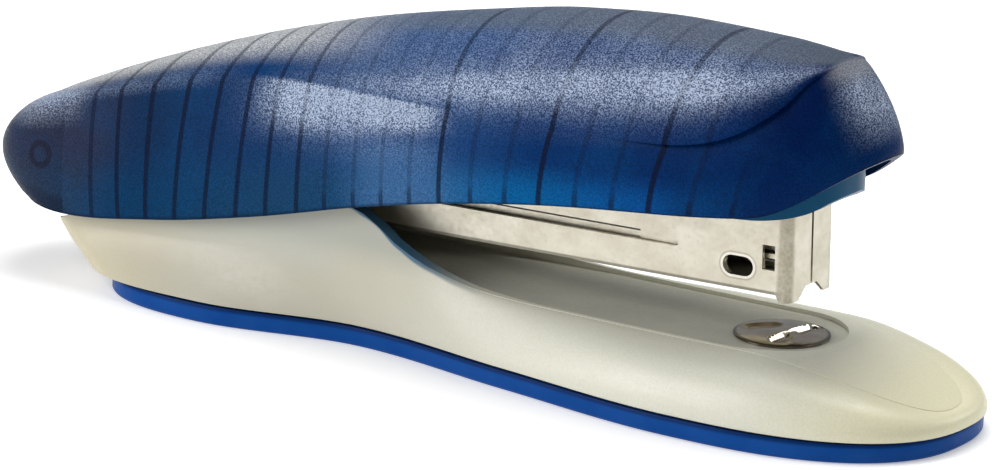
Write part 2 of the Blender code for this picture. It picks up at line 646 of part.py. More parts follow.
def cover_edge_point(t, inset):
    """The cover's lower edge, from the rear end to the nose."""
    x = mix(COVER_BOTTOM_REAR_X + inset, COVER_BOTTOM_FRONT_X - inset, t)
    width = COVER_HALF_WIDTH - inset
    width *= end_round(x, -74, COVER_BOTTOM_REAR_X + inset, 2.2)
    width *= end_round(x, 48, COVER_BOTTOM_FRONT_X - inset, 2.3)
    return Vector((x, width, smooth(COVER_EDGE_HEIGHTS, x)))


def cover_crease_point(t, inset):
    """The line where the cover's side meets its top."""
    x = mix(CREASE_REAR_X + inset, CREASE_FRONT_X - inset, t)
    width = smooth(CREASE_HALF_WIDTHS, x) - inset
    width *= end_round(x, -76, CREASE_REAR_X + inset, 2.4) * end_round(x, 42, CREASE_FRONT_X - inset, 2.6)
    return Vector((x, width, smooth(CREASE_HEIGHTS, x) - inset * 0.6))


def plan_normal(t, inset):
    """Outward direction, level, of the cover's side at the fraction t."""
    step = 0.004
    before = cover_edge_point(max(t - step, 0.0), inset)
    after = cover_edge_point(min(t + step, 1.0), inset)
    if t in (0.0, 1.0):
        return Vector((2 * t - 1, 0, 0))
    return Vector((before.y - after.y, after.x - before.x, 0)).normalized()


def side_point(t, f, inset):
    """A point of the cover's side: f is 0 on the lower edge and 1 at the crease."""
    low = cover_edge_point(t, inset)
    high = cover_crease_point(t, inset)
    high.y = max(high.y - smooth(STEP_DEPTHS, high.x), 0.0)
    normal = plan_normal(t, inset)
    end_bulge = FRONT_BULGE if normal.x > 0 else REAR_BULGE
    bulge = mix(SIDE_BULGE, end_bulge, normal.x**2)
    point = low.lerp(high, f) + normal * bulge * max(sin(pi * f), 0) ** 0.7
    point.y = max(point.y, 0.0) if 0 < t < 1 else 0.0
    return point


def cover_section(t, inset):
    """Half section of the cover, from its lower edge up to the middle of its top."""
    section = [tuple(side_point(t, i / 6, inset)) for i in range(7)]
    crease = cover_crease_point(t, inset)
    top = smooth(TOP_HEIGHTS, crease.x) - inset
    power = smooth(DOME_POWERS, crease.x)
    steps = 7
    for i in range(steps + 1):
        angle = pi / 2 * i / steps
        out = cos(angle) ** (2 / 2.2) if i < steps else 0.0
        up = sin(angle) ** (2 / power)
        section.append((crease.x, crease.y * out, mix(crease.z, max(top, crease.z), up)))
    return section


def liner_column(t, inset):
    """Points up the side of the skirt inside the cover's nose."""
    x = mix(LINER_REAR_X, LINER_FRONT_X - inset, t)
    width = (LINER_HALF_WIDTH - inset) * end_round(x, 52, LINER_FRONT_X - inset, 2.6)
    low = smooth(LINER_EDGE_HEIGHTS, x)
    return [Vector((x, width, low + rise)) for rise in (0.0, 2.5, 5.0)]


def make_cover(body):
    blue = ((0.01, 0.06, 0.25), 0.35, 0.0, 0.3)
    steps = cosine_steps(34)
    cover = open_shell("top_cover", [cover_section(t, 0.0) for t in steps],
                       [cover_section(t, COVER_WALL) for t in steps], body, blue)
    for index, x in enumerate(SCREW_XS):
        low = frame_top_height(x + BOSS_RADIUS) + GAP
        high = smooth(TOP_HEIGHTS, x) - COVER_WALL / 2
        boss = cylinder(f"cover_boss_{index}_tool", BOSS_RADIUS, (x, 0, low), (x, 0, high), body)
        boolean(cover, boss, "UNION")
        boolean(cover, cylinder(f"cover_boss_{index}_cutter", 1.2, (x, 0, low - 2), (x, 0, low + 6), body,
                                segments=20))

    teal = ((0.02, 0.25, 0.42), 0.3, 0.0, 0.3)
    columns = [sin(pi / 2 * i / 10) for i in range(11)]
    outer = [liner_column(c, 0.0) for c in columns]
    inner = [liner_column(c, LINER_WALL) for c in columns]
    mirrored = [[Vector((p.x, -p.y, p.z)) for p in column] for column in outer]
    mirrored_inner = [[Vector((p.x, -p.y, p.z)) for p in column] for column in inner]
    thick_sheet("nose_liner", mirrored + outer[-2::-1], mirrored_inner + inner[-2::-1], body, teal)


def frame_top_height(x):
    """Height of the handle frame's top face."""
    (x0, z0), (x1, z1) = FRAME_REAR_TOP, FRAME_FRONT_TOP
    return mix(z0, z1, (x - x0) / (x1 - x0))


def make_handle(body):
    steel = ((0.5, 0.5, 0.52), 0.32, 1.0)
    px, pz = PIVOT[0], PIVOT[2]
    front = FRAME_FRONT_TOP[0]
    outline = arc((px, pz), 5.0, 130, 290, 12)
    outline += [(-60, 21.0), (0, 36.0), (front, 44.0), FRAME_FRONT_TOP, FRAME_REAR_TOP]
    frame = side_plate("handle_frame", outline, FRAME_OUTER, body, steel)
    under = [(-100, frame_top_height(-100) - FRAME_SHEET), (-100, 0), (100, 0),
             (100, frame_top_height(100) - FRAME_SHEET)]
    boolean(frame, side_plate("frame_inside_cutter", under, FRAME_INNER, body))
    boolean(frame, box("frame_tab_tool", (61.1, -5.8, 42.4), (62.0, 5.8, frame_top_height(61.5) - 0.3), body),
            "UNION")
    boolean(frame, cylinder("frame_pin_cutter", PIN_HOLE_RADIUS, (px, -20, pz), (px, 20, pz), body))
    for index, x in enumerate(SCREW_XS):
        z = frame_top_height(x)
        boolean(frame, cylinder(f"frame_screw_{index}_cutter", 1.3, (x, 0, z - 4), (x, 0, z + 4), body,
                                segments=20))
        name = ("cover_screw_rear", "cover_screw_front")[index]
        low = z - FRAME_SHEET - GAP - 0.4
        profile = [(0, z + 5.5), (0.7, z + 5.5), (0.9, z + 5.2), (0.9, low), (2.4, low), (2.4, low - 0.6),
                   (2.0, low - 0.9), (0, low - 0.9)]
        turned(name, profile, (x, 0, 0), (0, 0, 1), body, steel, steps=20)

    spring_x = -50.0
    flat = frame_top_height(spring_x) - FRAME_SHEET - GAP
    slope = (FRAME_FRONT_TOP[1] - FRAME_REAR_TOP[1]) / (FRAME_FRONT_TOP[0] - FRAME_REAR_TOP[0])
    path = [(-56, flat - 6 * slope), (-45, flat + 5 * slope), (-38, 33.7), (-26, 34.0), (-8, 34.0),
            (2, 33.9), (6, 33.9), (9, 34.3)]
    spring = side_plate("handle_spring", strip_outline(path, 0.5), 5.6, body, ((0.4, 0.42, 0.45), 0.25, 1.0))
    for part in (spring, frame):
        tool = cylinder(f"{part.name}_rivet_cutter", 1.3, (spring_x, 0, 30), (spring_x, 0, 37), body,
                        segments=20)
        boolean(part, tool)
    rivet("handle_spring_rivet", 1.9, 1.0, flat + FRAME_SHEET + 1.3, flat - 1.35, 0.55, (spring_x, 0, 0),
          (0, 0, 1), body, steel)

    angles = [radians(mix(DRIVER_TIP_DEG, DRIVER_TOP_DEG, i / 6)) for i in range(7)]
    sheets = []
    for radius in (DRIVER_OUTER_RADIUS, DRIVER_INNER_RADIUS):
        sheets.append([[(px + radius * cos(a), y, pz + radius * sin(a)) for a in angles]
                       for y in (-DRIVER_HALF_WIDTH, DRIVER_HALF_WIDTH)])
    blade = thick_sheet("driver_blade", sheets[0], sheets[1], body, steel)
    for side, label in ((-1, "near"), (1, "far")):
        y = 3.4 * side
        for part in (blade, frame):
            tool = cylinder(f"{part.name}_{label}_rivet_cutter", 1.1, (58, y, DRIVER_RIVET_Z),
                            (66, y, DRIVER_RIVET_Z), body, segments=20)
            boolean(part, tool)
        rivet(f"driver_rivet_{label}", 1.5, 0.8, 64.05, 60.2, 0.55, (0, y, DRIVER_RIVET_Z), (1, 0, 0), body,
              steel)
        low, high = sorted((10.8 * side, 12.6 * side))
        bush = cylinder(f"pivot_bush_{label}", 3.4, (px, low, pz), (px, high, pz), body,
                        ((0.02, 0.03, 0.08), 0.5))
        boolean(bush, cylinder(f"pivot_bush_{label}_cutter", PIN_HOLE_RADIUS, (px, -20, pz), (px, 20, pz),
                               body))


# ---------------------------------------------------------------- build

clear_scene()
PARTS = new_collection("desktop_stapler")
CUTTERS = new_collection("cutters")

base = Body("base_frame", (0, 0, 0), (0, 0, 0))
anvil_body = Body("anvil_axis", (ANVIL_X, 0, 0), (ANVIL_X, 0, 0))
magazine = Body("magazine_axis", PIVOT, (0, 0, 0), turn_y_deg=-MAGAZINE_PITCH_DEG)
pusher_body = Body("pusher_axis", (0, 0, 0), (0, 0, 0), parent=magazine)
cover_body = Body("cover_axis", PIVOT, PIVOT)

make_base(base)
make_hinge(base)
make_anvil(anvil_body)
make_magazine(magazine)
make_pusher(pusher_body)
make_cover(cover_body)
make_handle(cover_body)
bpy.context.view_layer.update()
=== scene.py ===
"""Looks of the full-strip desktop stapler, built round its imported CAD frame.

Shapes are drawn in millimetres in the drawing frame: X = 0 is 0.8 mm behind the frame's origin, and the
hinge pin is at (-80.9, 0, 21.8). place() turns drawing points into metres in the frame.
"""
import json
from math import atan2, cos, hypot, pi, radians, sin

import bmesh
import bpy
from mathutils import Matrix, Vector


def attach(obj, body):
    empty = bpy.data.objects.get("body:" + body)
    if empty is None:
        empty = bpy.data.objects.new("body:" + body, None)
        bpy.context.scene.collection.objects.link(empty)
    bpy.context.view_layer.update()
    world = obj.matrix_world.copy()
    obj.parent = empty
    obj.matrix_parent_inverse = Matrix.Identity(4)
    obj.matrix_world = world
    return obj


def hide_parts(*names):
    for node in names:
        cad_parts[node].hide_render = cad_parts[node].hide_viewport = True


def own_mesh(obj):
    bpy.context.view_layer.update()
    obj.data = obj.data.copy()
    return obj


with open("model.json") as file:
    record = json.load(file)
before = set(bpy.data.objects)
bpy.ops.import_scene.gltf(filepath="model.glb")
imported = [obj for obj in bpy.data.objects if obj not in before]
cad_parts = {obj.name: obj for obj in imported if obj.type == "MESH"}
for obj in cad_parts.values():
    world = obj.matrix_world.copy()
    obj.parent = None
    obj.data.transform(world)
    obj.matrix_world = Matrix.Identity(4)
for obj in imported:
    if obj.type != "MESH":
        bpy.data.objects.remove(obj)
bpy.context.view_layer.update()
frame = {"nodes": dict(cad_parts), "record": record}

MM = 0.001
JOINTS = {joint["name"]: joint for joint in frame["record"]["behaviour"]["joints"]}
PIN = Vector(JOINTS["magazine_hinge"]["pos_m"])
PIVOT = (-80.9, 0.0, 21.8)
ORIGIN = PIN - Vector(PIVOT) * MM
SLIDE_AXIS = JOINTS["pusher_slide"]["axis"]
PITCH = atan2(SLIDE_AXIS[2], SLIDE_AXIS[0])

COVER_WALL = 2.0
COVER_HALF_WIDTH = 17.0
NOSE_BULGE = 1.6
REAR_BULGE = 7.6
COVER_BOTTOM_X = (-89.3, 80.3)
CREASE_X = (-85.6, 71.6)
COVER_EDGE_HEIGHTS = ((-89, 13.2), (-74, 12.4), (-55, 14.7), (-34, 19.0), (-11, 24.9), (6, 28.5),
                      (26, 31.7), (55, 34.9), (64, 36.2), (80.3, 46.0))
CREASE_HALF_WIDTHS = ((-79, 12.6), (-60, 13.2), (-34, 14.8), (0, 16.4), (25, 17.0), (71, 17.0))
CREASE_HEIGHTS = ((-86, 29.6), (-79, 31.4), (-62, 36.3), (-44, 41.0), (-33, 42.9), (4, 43.9),
                  (25, 44.6), (47, 45.8), (53.4, 46.9), (58.9, 48.9), (65.8, 53.9), (69.0, 57.9),
                  (71.6, 60.6))
TOP_HEIGHTS = ((-86, 29.6), (-82, 31.7), (-63, 39.6), (-42, 47.0), (-21, 53.0), (0, 57.5), (19, 60.8),
               (40, 62.4), (57, 62.1), (71.6, 60.6))
STEP_DEPTHS = ((36, 0.0), (56, 1.3), (66, 1.1), (71, 0.0))
RIM_HEIGHTS = ((-90, 19.5), (-66, 20.0), (-48, 23.0), (-30, 24.0), (-19, 24.0), (-13, 22.8),
               (-5.7, 18.4), (2, 15.4), (11.5, 13.6), (23, 13.1), (45, 13.0), (64, 13.1), (78, 11.2),
               (87, 8.7), (94, 6.3))
ANVIL_X = 61.3
ANVIL_RADIUS = 8.1
DOME_POWERS = ((-60, 1.0), (-33, 1.15), (6, 1.9), (30, 2.0))


# ---------------------------------------------------------------- curves

def smooth(knots, x):
    """Value at x of the curve through the knots, which never overshoots them."""
    if x <= knots[0][0]:
        return knots[0][1]
    if x >= knots[-1][0]:
        return knots[-1][1]
    spans = [b[0] - a[0] for a, b in zip(knots, knots[1:])]
    slopes = [(b[1] - a[1]) / (b[0] - a[0]) for a, b in zip(knots, knots[1:])]
    tangents = [slopes[0]]
    for before, after in zip(slopes, slopes[1:]):
        same_way = before * after > 0
        tangents.append(2 * before * after / (before + after) if same_way else 0.0)
    tangents.append(slopes[-1])
    index = next(i for i in range(len(spans)) if x <= knots[i + 1][0])
    t = (x - knots[index][0]) / spans[index]
    value = (2 * t**3 - 3 * t**2 + 1) * knots[index][1]
    value += (t**3 - 2 * t**2 + t) * spans[index] * tangents[index]
    value += (3 * t**2 - 2 * t**3) * knots[index + 1][1]
    value += (t**3 - t**2) * spans[index] * tangents[index + 1]
    return value


def end_round(x, start, end, power):
    """1 up to start, then falling to 0 at end along a superellipse."""
    t = min(max((x - start) / (end - start), 0.0), 1.0)
    return (1 - t**power) ** (1 / power)


def cosine_steps(count):
    return [(1 - cos(pi * i / count)) / 2 for i in range(count + 1)]


def mix(a, b, t):
    return a + (b - a) * t


def place(point):
    """A drawing point, in millimetres, as a frame point in metres."""
    return ORIGIN + Vector(point) * MM


# ---------------------------------------------------------------- materials

class Look:
    """A Principled material and the node graph that drives it."""

    def __init__(self, name, roughness=0.4, metallic=0.0, **values):
        self.material = bpy.data.materials.new(name)
        self.material.use_nodes = True
        self.tree = self.material.node_tree
        self.shader = self.tree.nodes["Principled BSDF"]
        self.shader.inputs["Roughness"].default_value = roughness
        self.shader.inputs["Metallic"].default_value = metallic
        for key, value in values.items():
            self.shader.inputs[key.replace("_", " ")].default_value = value
        self.coords = self.tree.nodes.new("ShaderNodeTexCoord").outputs["Object"]
        self.bumps = []

    def node(self, kind, inputs=(), **settings):
        node = self.tree.nodes.new(kind)
        for key, value in settings.items():
            setattr(node, key, value)
        for key, value in dict(inputs).items():
            self.put(node.inputs[key], value)
        return node

    def put(self, socket, value):
        if isinstance(value, bpy.types.NodeSocket):
            self.tree.links.new(value, socket)
        elif hasattr(socket.default_value, "__len__") and len(socket.default_value) == 4:
            socket.default_value = (*value, 1.0)
        else:
            socket.default_value = value

    def math(self, operation, a, b=0.0, clamp=False):
        return self.node("ShaderNodeMath", {0: a, 1: b}, operation=operation, use_clamp=clamp).outputs[0]

    def axes(self):
        """X, Y and Z in drawing millimetres."""
        shifted = self.node("ShaderNodeVectorMath", {0: self.coords, 1: tuple(ORIGIN)},
                            operation="SUBTRACT")
        scaled = self.node("ShaderNodeVectorMath", {0: shifted.outputs[0]}, operation="SCALE")
        scaled.inputs["Scale"].default_value = 1 / MM
        return self.node("ShaderNodeSeparateXYZ", {0: scaled.outputs[0]}).outputs

    def distance(self, across, along):
        """Length of the diagonal of two offsets."""
        return self.math("SQRT", self.math("ADD", self.product(across, across), self.product(along, along)))

    def ramp(self, value, low, high, a=0.0, b=1.0):
        """Goes smoothly from a at low to b at high."""
        node = self.node("ShaderNodeMapRange", interpolation_type="SMOOTHSTEP", clamp=True)
        for key, item in zip((0, 1, 2, 3, 4), (value, low, high, a, b)):
            self.put(node.inputs[key], item)
        return node.outputs[0]

    def curve(self, value, knots):
        """A smooth ramp through (position, colour) stops, which are in rising order."""
        low, high = knots[0][0], knots[-1][0]
        flat = self.node("ShaderNodeMapRange", clamp=True)
        for key, item in zip((0, 1, 2, 3, 4), (value, low, high, 0.0, 1.0)):
            self.put(flat.inputs[key], item)
        ramp = self.node("ShaderNodeValToRGB", {0: flat.outputs[0]})
        ramp.color_ramp.interpolation = "EASE"
        stops = ramp.color_ramp.elements
        while len(stops) < len(knots):
            stops.new(0.5)
        for stop, (position, colour) in zip(stops, knots):
            stop.position = (position - low) / (high - low)
            stop.color = (*colour, 1.0)
        return ramp.outputs[0]

    def profile(self, value, knots):
        """A smooth curve through (input, output) knots, flat beyond the ends."""
        low, high = knots[0][0], knots[-1][0]
        bottom = min(y for x, y in knots)
        reach = max(y for x, y in knots) - bottom
        flat = self.node("ShaderNodeMapRange", clamp=True)
        for key, item in zip((0, 1, 2, 3, 4), (value, low, high, 0.0, 1.0)):
            self.put(flat.inputs[key], item)
        node = self.node("ShaderNodeFloatCurve", {"Value": flat.outputs[0]})
        line = node.mapping.curves[0]
        spots = [((x - low) / (high - low), (y - bottom) / reach) for x, y in knots]
        line.points[0].location = spots[0]
        line.points[1].location = spots[-1]
        for spot in spots[1:-1]:
            line.points.new(*spot)
        for point in line.points:
            point.handle_type = "AUTO_CLAMPED"
        node.mapping.update()
        return self.math("ADD", self.math("MULTIPLY", node.outputs[0], reach), bottom)

    def product(self, *values):
        result = values[0]
        for value in values[1:]:
            result = self.math("MULTIPLY", result, value)
        return result

    def blend(self, factor, a, b, mode="MIX"):
        node = self.node("ShaderNodeMix", data_type="RGBA", blend_type=mode)
        self.put(node.inputs["Factor"], factor)
        self.put(node.inputs[6], a)
        self.put(node.inputs[7], b)
        return node.outputs[2]

    def noise(self, size_mm, detail=2.0, stretch=(1, 1, 1), roughness=0.5):
        """Noise of about the given size, denser along the stretched axes."""
        mapping = self.node("ShaderNodeMapping", {0: self.coords})
        mapping.inputs["Scale"].default_value = [s / (size_mm * MM) for s in stretch]
        node = self.node("ShaderNodeTexNoise", {"Vector": mapping.outputs[0], "Scale": 1.0,
                                                "Detail": detail, "Roughness": roughness})
        return node.outputs[0]

    def bump(self, height, strength, distance_mm):
        node = self.node("ShaderNodeBump", {"Height": height, "Strength": strength,
                                            "Distance": distance_mm * MM})
        if self.bumps:
            self.tree.links.new(self.bumps[-1], node.inputs["Normal"])
        self.bumps.append(node.outputs[0])
        self.tree.links.new(node.outputs[0], self.shader.inputs["Normal"])

    def color(self, value):
        self.put(self.shader.inputs["Base Color"], value)

    def roughness(self, value):
        self.put(self.shader.inputs["Roughness"], value)


RIB_FEET = (-74.3, -67.6, -62.0, -56.2, -50.1, -43.8, -37.3, -31.1, -24.7, -19.0, -13.1, -7.5, -1.8,
            4.1, 10.3, 17.0, 23.6, 30.6, 37.7, 44.8, 52.4, 60.1, 66.0)
RIB_LEANS = ((-76, -0.13), (-66, -0.12), (-58, -0.06), (-50, 0.02), (-38, 0.06), (-25, 0.03), (2, 0.04),
             (22, 0.15), (45, 0.2), (66, 0.22))
RIB_STRENGTHS = ((0, 0.25), (1, 0.7), (2, 0.9), (8, 0.85), (9, 0.45), (12, 0.3), (12.4, 0.3), (13, 0.95),
                 (13.6, 0.35), (15.4, 0.35), (16, 1.0), (16.6, 0.4), (18.4, 0.4), (19, 1.0), (19.6, 0.45),
                 (21, 0.4), (21.6, 0.0), (22, 0.0))


def rib_stripes(look, x, z, edge):
    """How dark the ribs behind the cover's skin show, 0 between them."""
    height = look.math("SUBTRACT", z, edge)
    foot = look.math("SUBTRACT", x, look.product(height, look.profile(x, RIB_LEANS)))
    index = look.profile(foot, [(spot, k) for k, spot in enumerate(RIB_FEET)])
    phase = look.math("FRACT", look.math("ADD", index, 0.5))
    offset = look.math("ABSOLUTE", look.math("SUBTRACT", phase, 0.5))
    strength = look.profile(index, RIB_STRENGTHS)
    low = look.ramp(height, 5.0, 1.5)
    strength = look.math("MAXIMUM", strength, look.product(low, 0.75))
    return look.product(look.ramp(offset, 0.05, 0.10, 1.0, 0.0), strength, look.ramp(x, 63, 60))


# The darker stops from x 58 to 66 in both lists below are painted shade in the recess below the nose's
# step; GLOW_STOPS is a painted glow of light shining through the plastic towards its lower edge.
BLUE_AND_RECESS_SHADE_STOPS = ((-90, (0.030, 0.032, 0.050)), (-72, (0.020, 0.028, 0.062)), (-58, (0.004, 0.023, 0.074)),
              (-35, (0.005, 0.031, 0.108)), (-10, (0.016, 0.055, 0.160)), (8, (0.008, 0.044, 0.150)),
              (25, (0.001, 0.025, 0.112)), (58, (0.0004, 0.018, 0.090)), (66, (0.0004, 0.009, 0.058)),
              (82, (0.0004, 0.013, 0.068)))
GLOW_STOPS = ((-80, (0.020, 0.035, 0.060)), (-60, (0.002, 0.034, 0.098)), (-20, (0.007, 0.046, 0.115)),
              (-2, (0.026, 0.110, 0.250)), (20, (0.0004, 0.092, 0.270)), (42, (0.0004, 0.060, 0.230)),
              (54, (0.0004, 0.030, 0.120)), (65, (0.0004, 0.015, 0.078)), (82, (0.0004, 0.020, 0.090)))
SHEEN_LEVELS = ((-30, 0.10), (-9, 0.20), (7, 0.32), (22, 0.41), (37, 0.50), (52, 0.59), (70, 0.66))
SHEEN_FALLOFF = ((-0.60, 0.0), (-0.40, 0.06), (-0.26, 0.26), (-0.12, 0.70), (0.0, 1.0), (0.08, 0.86),
                 (0.20, 0.42), (0.35, 0.28), (0.9, 0.24))
SHEEN_STRENGTHS = ((-34, 0.0), (-22, 0.14), (-9, 0.38), (7, 0.62), (22, 0.72), (37, 0.84), (50, 0.84),
                   (60, 0.52), (68, 0.24), (71, 0.0))
BOSS = (-79.8, 21.9)
BOSS_RING_RADIUS = 1.9


def cover_blue_with_painted_light(look, x, f):
    """The plastic's blue, with a painted glow of light shining through towards the lower edge and painted
    shade in the recess below the nose's step, varying in soft patches.
    """
    body = look.blend(look.ramp(f, 0.62, 0.12), look.curve(x, BLUE_AND_RECESS_SHADE_STOPS), look.curve(x, GLOW_STOPS))
    patches = look.ramp(look.noise(11.0, 3.0), 0.42, 0.66, 0.0, 0.40)
    body = look.blend(patches, body, look.blend(0.5, body, (0.002, 0.055, 0.170)))
    window = look.product(look.ramp(x, -18, -6), look.ramp(x, 8, 0), look.ramp(f, 0.75, 0.5))
    return look.blend(look.product(window, 0.7), body, (0.045, 0.120, 0.270))


def cover_painted_sheen(look, x, side, under, f, g):
    """How strongly a painted sheen of reflected light lies over the blue: on the facet, round it, on the
    dome and at both ends.
    """
    facet_depth = look.ramp(x, -22, 4, 9.5, 5.0)
    facet = look.product(look.ramp(x, -37, -24), look.ramp(x, 8, -6), look.ramp(under, -0.8, 0.1),
                         look.ramp(under, facet_depth, 1.2), 1.05)
    fringe = look.product(look.ramp(x, -44, -25), look.ramp(x, 10, -10), look.ramp(under, -1.0, 0.5),
                          look.ramp(under, 13.0, 3.0), 0.16)
    shoulder = look.product(look.ramp(x, -34, -58), look.ramp(f, 0.92, 1.02), look.ramp(g, 0.6, 0.2), 0.15)
    level = look.math("SUBTRACT", g, look.profile(x, SHEEN_LEVELS))
    sheen = look.product(look.profile(level, SHEEN_FALLOFF), look.profile(x, SHEEN_STRENGTHS))
    corner = look.product(look.ramp(x, -70, -80), look.ramp(f, 0.7, 0.95), 0.45)
    nose = look.product(look.ramp(x, 70.5, 75), look.ramp(side, 9.5, 2.5), look.ramp(f, 0.1, 0.65), 0.6)
    painted_sheen = facet
    for sheen_layer in (fringe, shoulder, sheen, corner, nose):
        painted_sheen = look.math("ADD", painted_sheen, sheen_layer)
    return painted_sheen


def cover_look():
    """Translucent blue plastic: f runs from 0 at the lower edge to 1 at the crease, and g on to the top."""
    look = Look("blue_cover", roughness=0.36, IOR=1.45, Specular_IOR_Level=0.035)
    x, y, z = look.axes()
    side = look.math("ABSOLUTE", y)
    edge = look.profile(x, COVER_EDGE_HEIGHTS)
    crease = look.profile(x, CREASE_HEIGHTS)
    top = look.profile(x, TOP_HEIGHTS)
    under = look.math("SUBTRACT", crease, z)
    dome_height = look.math("MAXIMUM", look.math("SUBTRACT", top, crease), 1.0)
    f = look.math("DIVIDE", look.math("SUBTRACT", z, edge), look.math("SUBTRACT", crease, edge))
    g = look.math("DIVIDE", look.math("SUBTRACT", z, crease), dome_height)

    body = cover_blue_with_painted_light(look, x, f)
    painted_sheen = cover_painted_sheen(look, x, side, under, f, g)
    grain = look.ramp(look.noise(0.27, 1.0, roughness=0.7), 0.34, 0.68, 0.30, 1.75)
    drift = look.ramp(look.noise(9.0, 3.0), 0.3, 0.7, 0.75, 1.2)
    sheen_layer = look.math("MULTIPLY", look.product(painted_sheen, grain), drift, clamp=True)
    # Painted sheen: the pale, grainy colour stands in for light reflected off the plastic.
    body = look.blend(sheen_layer, body, (0.350, 0.418, 0.545))
    # Painted reflection: a grey band of reflected light along the top towards the rear.
    rear_top = look.product(look.ramp(x, -4, -36), look.ramp(g, 0.26, 0.88), look.ramp(x, -84, -78))
    rear_top = look.product(rear_top, look.ramp(grain, 0.30, 1.75, 0.60, 1.0))
    body = look.blend(rear_top, body, (0.420, 0.430, 0.430))
    # Painted reflection: a dull grey reflection of the background along the top of the dome.
    spine = look.product(look.ramp(g, 0.80, 0.96), look.ramp(x, -30, 0), 0.65)
    body = look.blend(spine, body, (0.095, 0.115, 0.135))
    # Painted highlight along the nose's ridge.
    ridge = look.product(look.ramp(x, 70, 72), look.ramp(f, 0.82, 0.97), look.ramp(side, 9.0, 4.0), 0.7)
    body = look.blend(ridge, body, (0.26, 0.27, 0.29))

    ribs = look.product(rib_stripes(look, x, z, edge), look.ramp(g, 0.0, 0.35, 0.85, 0.60),
                        look.ramp(painted_sheen, 0.15, 0.7, 1.0, 0.45))
    body = look.blend(ribs, body, (0.003, 0.006, 0.022))
    off_boss = look.distance(look.math("SUBTRACT", x, BOSS[0]), look.math("SUBTRACT", z, BOSS[1]))
    off_ring = look.math("ABSOLUTE", look.math("SUBTRACT", off_boss, BOSS_RING_RADIUS))
    body = look.blend(look.ramp(off_ring, 0.35, 0.75, 0.75, 0.0), body, (0.012, 0.013, 0.025))
    body = look.blend(look.ramp(f, 0.035, 0.01, 0.0, 0.6), body, (0.002, 0.010, 0.030))
    body = look.blend(1.0, body, look.ramp(grain, 0.30, 1.75, 0.78, 1.22), "MULTIPLY")
    look.color(body)
    look.bump(look.noise(0.30, 1.0), 0.8, 0.10)
    look.roughness(look.ramp(look.noise(0.6, 1.0), 0.3, 0.7, 0.30, 0.44))
    return look.material


def plain_look(name, tint, roughness, metallic=0.0, grain_mm=0.6, bump=0.15, wear=0.12, **values):
    """A material with a fine grain, a little colour variation and uneven gloss."""
    look = Look(name, roughness=roughness, metallic=metallic, **values)
    patch = look.ramp(look.noise(14.0, 4.0), 0.3, 0.7)
    darker = tuple(c * (1 - wear) for c in tint)
    look.color(look.blend(patch, darker, tint))
    look.roughness(look.ramp(look.noise(5.0, 3.0), 0.3, 0.7, roughness * 0.85, roughness * 1.15))
    look.bump(look.noise(grain_mm, 2.0), bump, 0.03)
    return look.material


def sole_look():
    """Blue plastic with a paler belt at mid height and painted shade darkening the top ledge."""
    look = Look("blue_sole", roughness=0.36, IOR=1.45, Specular_IOR_Level=0.08)
    x, y, z = look.axes()
    patch = look.ramp(look.noise(8.0, 3.0), 0.3, 0.7)
    blue = look.blend(patch, (0.002, 0.056, 0.260), (0.006, 0.068, 0.290))
    # Painted shade on the top ledge.
    blue = look.blend(look.ramp(z, 2.35, 3.0, 0.0, 0.85), blue, (0.0015, 0.016, 0.080))
    look.color(blue)
    look.bump(look.noise(0.4, 2.0), 0.25, 0.04)
    look.roughness(look.ramp(look.noise(0.7, 1.0), 0.3, 0.7, 0.30, 0.42))
    return look.material


def pearl_look():
    """Cream plastic with a pearly grain and yellower at both ends, with painted light: lighter towards the
    front, a painted blue reflection and painted shade under the cover's edge, a painted reflection of the
    magazine on the tray floor, and painted blue-tinted shade along the tops of the ears.
    """
    look = Look("pearl_plastic", roughness=0.36, IOR=1.46)
    x, y, z = look.axes()
    patch = look.ramp(look.noise(22.0, 3.0), 0.3, 0.7)
    cream = look.blend(patch, (0.490, 0.468, 0.365), (0.530, 0.510, 0.405))
    # Painted light: the cream gets lighter towards the front.
    cream = look.blend(look.ramp(x, -20, 35), cream, (0.745, 0.740, 0.610))
    cream = look.blend(look.ramp(x, 66, 92, 0.0, 0.85), cream, (0.800, 0.760, 0.500))
    cream = look.blend(look.ramp(x, -40, -66, 0.0, 0.8), cream, (0.600, 0.540, 0.370))
    # Painted reflection: the cream takes a blue tint from the cover between z 9 and 14, more towards the
    # rear.
    cream = look.blend(look.ramp(z, 9.0, 14.0, 0.0, look.ramp(x, -14, -24, 0.0, 0.35)), cream,
                       (0.480, 0.510, 0.480))
    # Painted shade: darker just under the cover's edge on the rear part.
    cream = look.blend(look.product(look.ramp(z, 12.5, 19.0, 0.0, 0.7), look.ramp(x, 6, -4)), cream,
                       (0.330, 0.350, 0.310))
    grain = look.ramp(look.noise(0.40, 2.0, roughness=0.7), 0.30, 0.70, 0.0, 0.16)
    cream = look.blend(grain, cream, (0.420, 0.410, 0.340))
    # Painted reflection: the magazine's dark underside mirrored, mottled, in the tray floor.
    floor = look.product(look.ramp(look.math("ABSOLUTE", y), 13.2, 11.8), look.ramp(z, 12.9, 12.5),
                         look.ramp(x, 76, 60))
    tray_mottle = look.ramp(look.noise(13.0, 4.0, (0.5, 1, 1)), 0.35, 0.65)
    tray_reflection = look.blend(tray_mottle, (0.200, 0.200, 0.180), (0.330, 0.320, 0.250))
    cream = look.blend(look.product(floor, 0.55), cream, tray_reflection)
    rim = look.math("SUBTRACT", z, look.profile(x, RIM_HEIGHTS))
    # Painted shade, tinted blue by the cover, along the tops of the ears.
    ear = look.product(look.ramp(rim, -0.75, -0.3), look.ramp(x, 14, -4), look.ramp(x, -40, -30))
    cream = look.blend(look.product(ear, 0.95), cream, (0.022, 0.105, 0.190))
    look.color(cream)
    look.bump(look.noise(0.45, 2.0), 0.25, 0.06)
    look.roughness(look.ramp(look.noise(0.8, 1.0), 0.3, 0.7, 0.30, 0.42))
    return look.material


OVAL_MIDDLE = (137.4, -0.2)
OVAL_HALF_STRAIGHT = 1.25


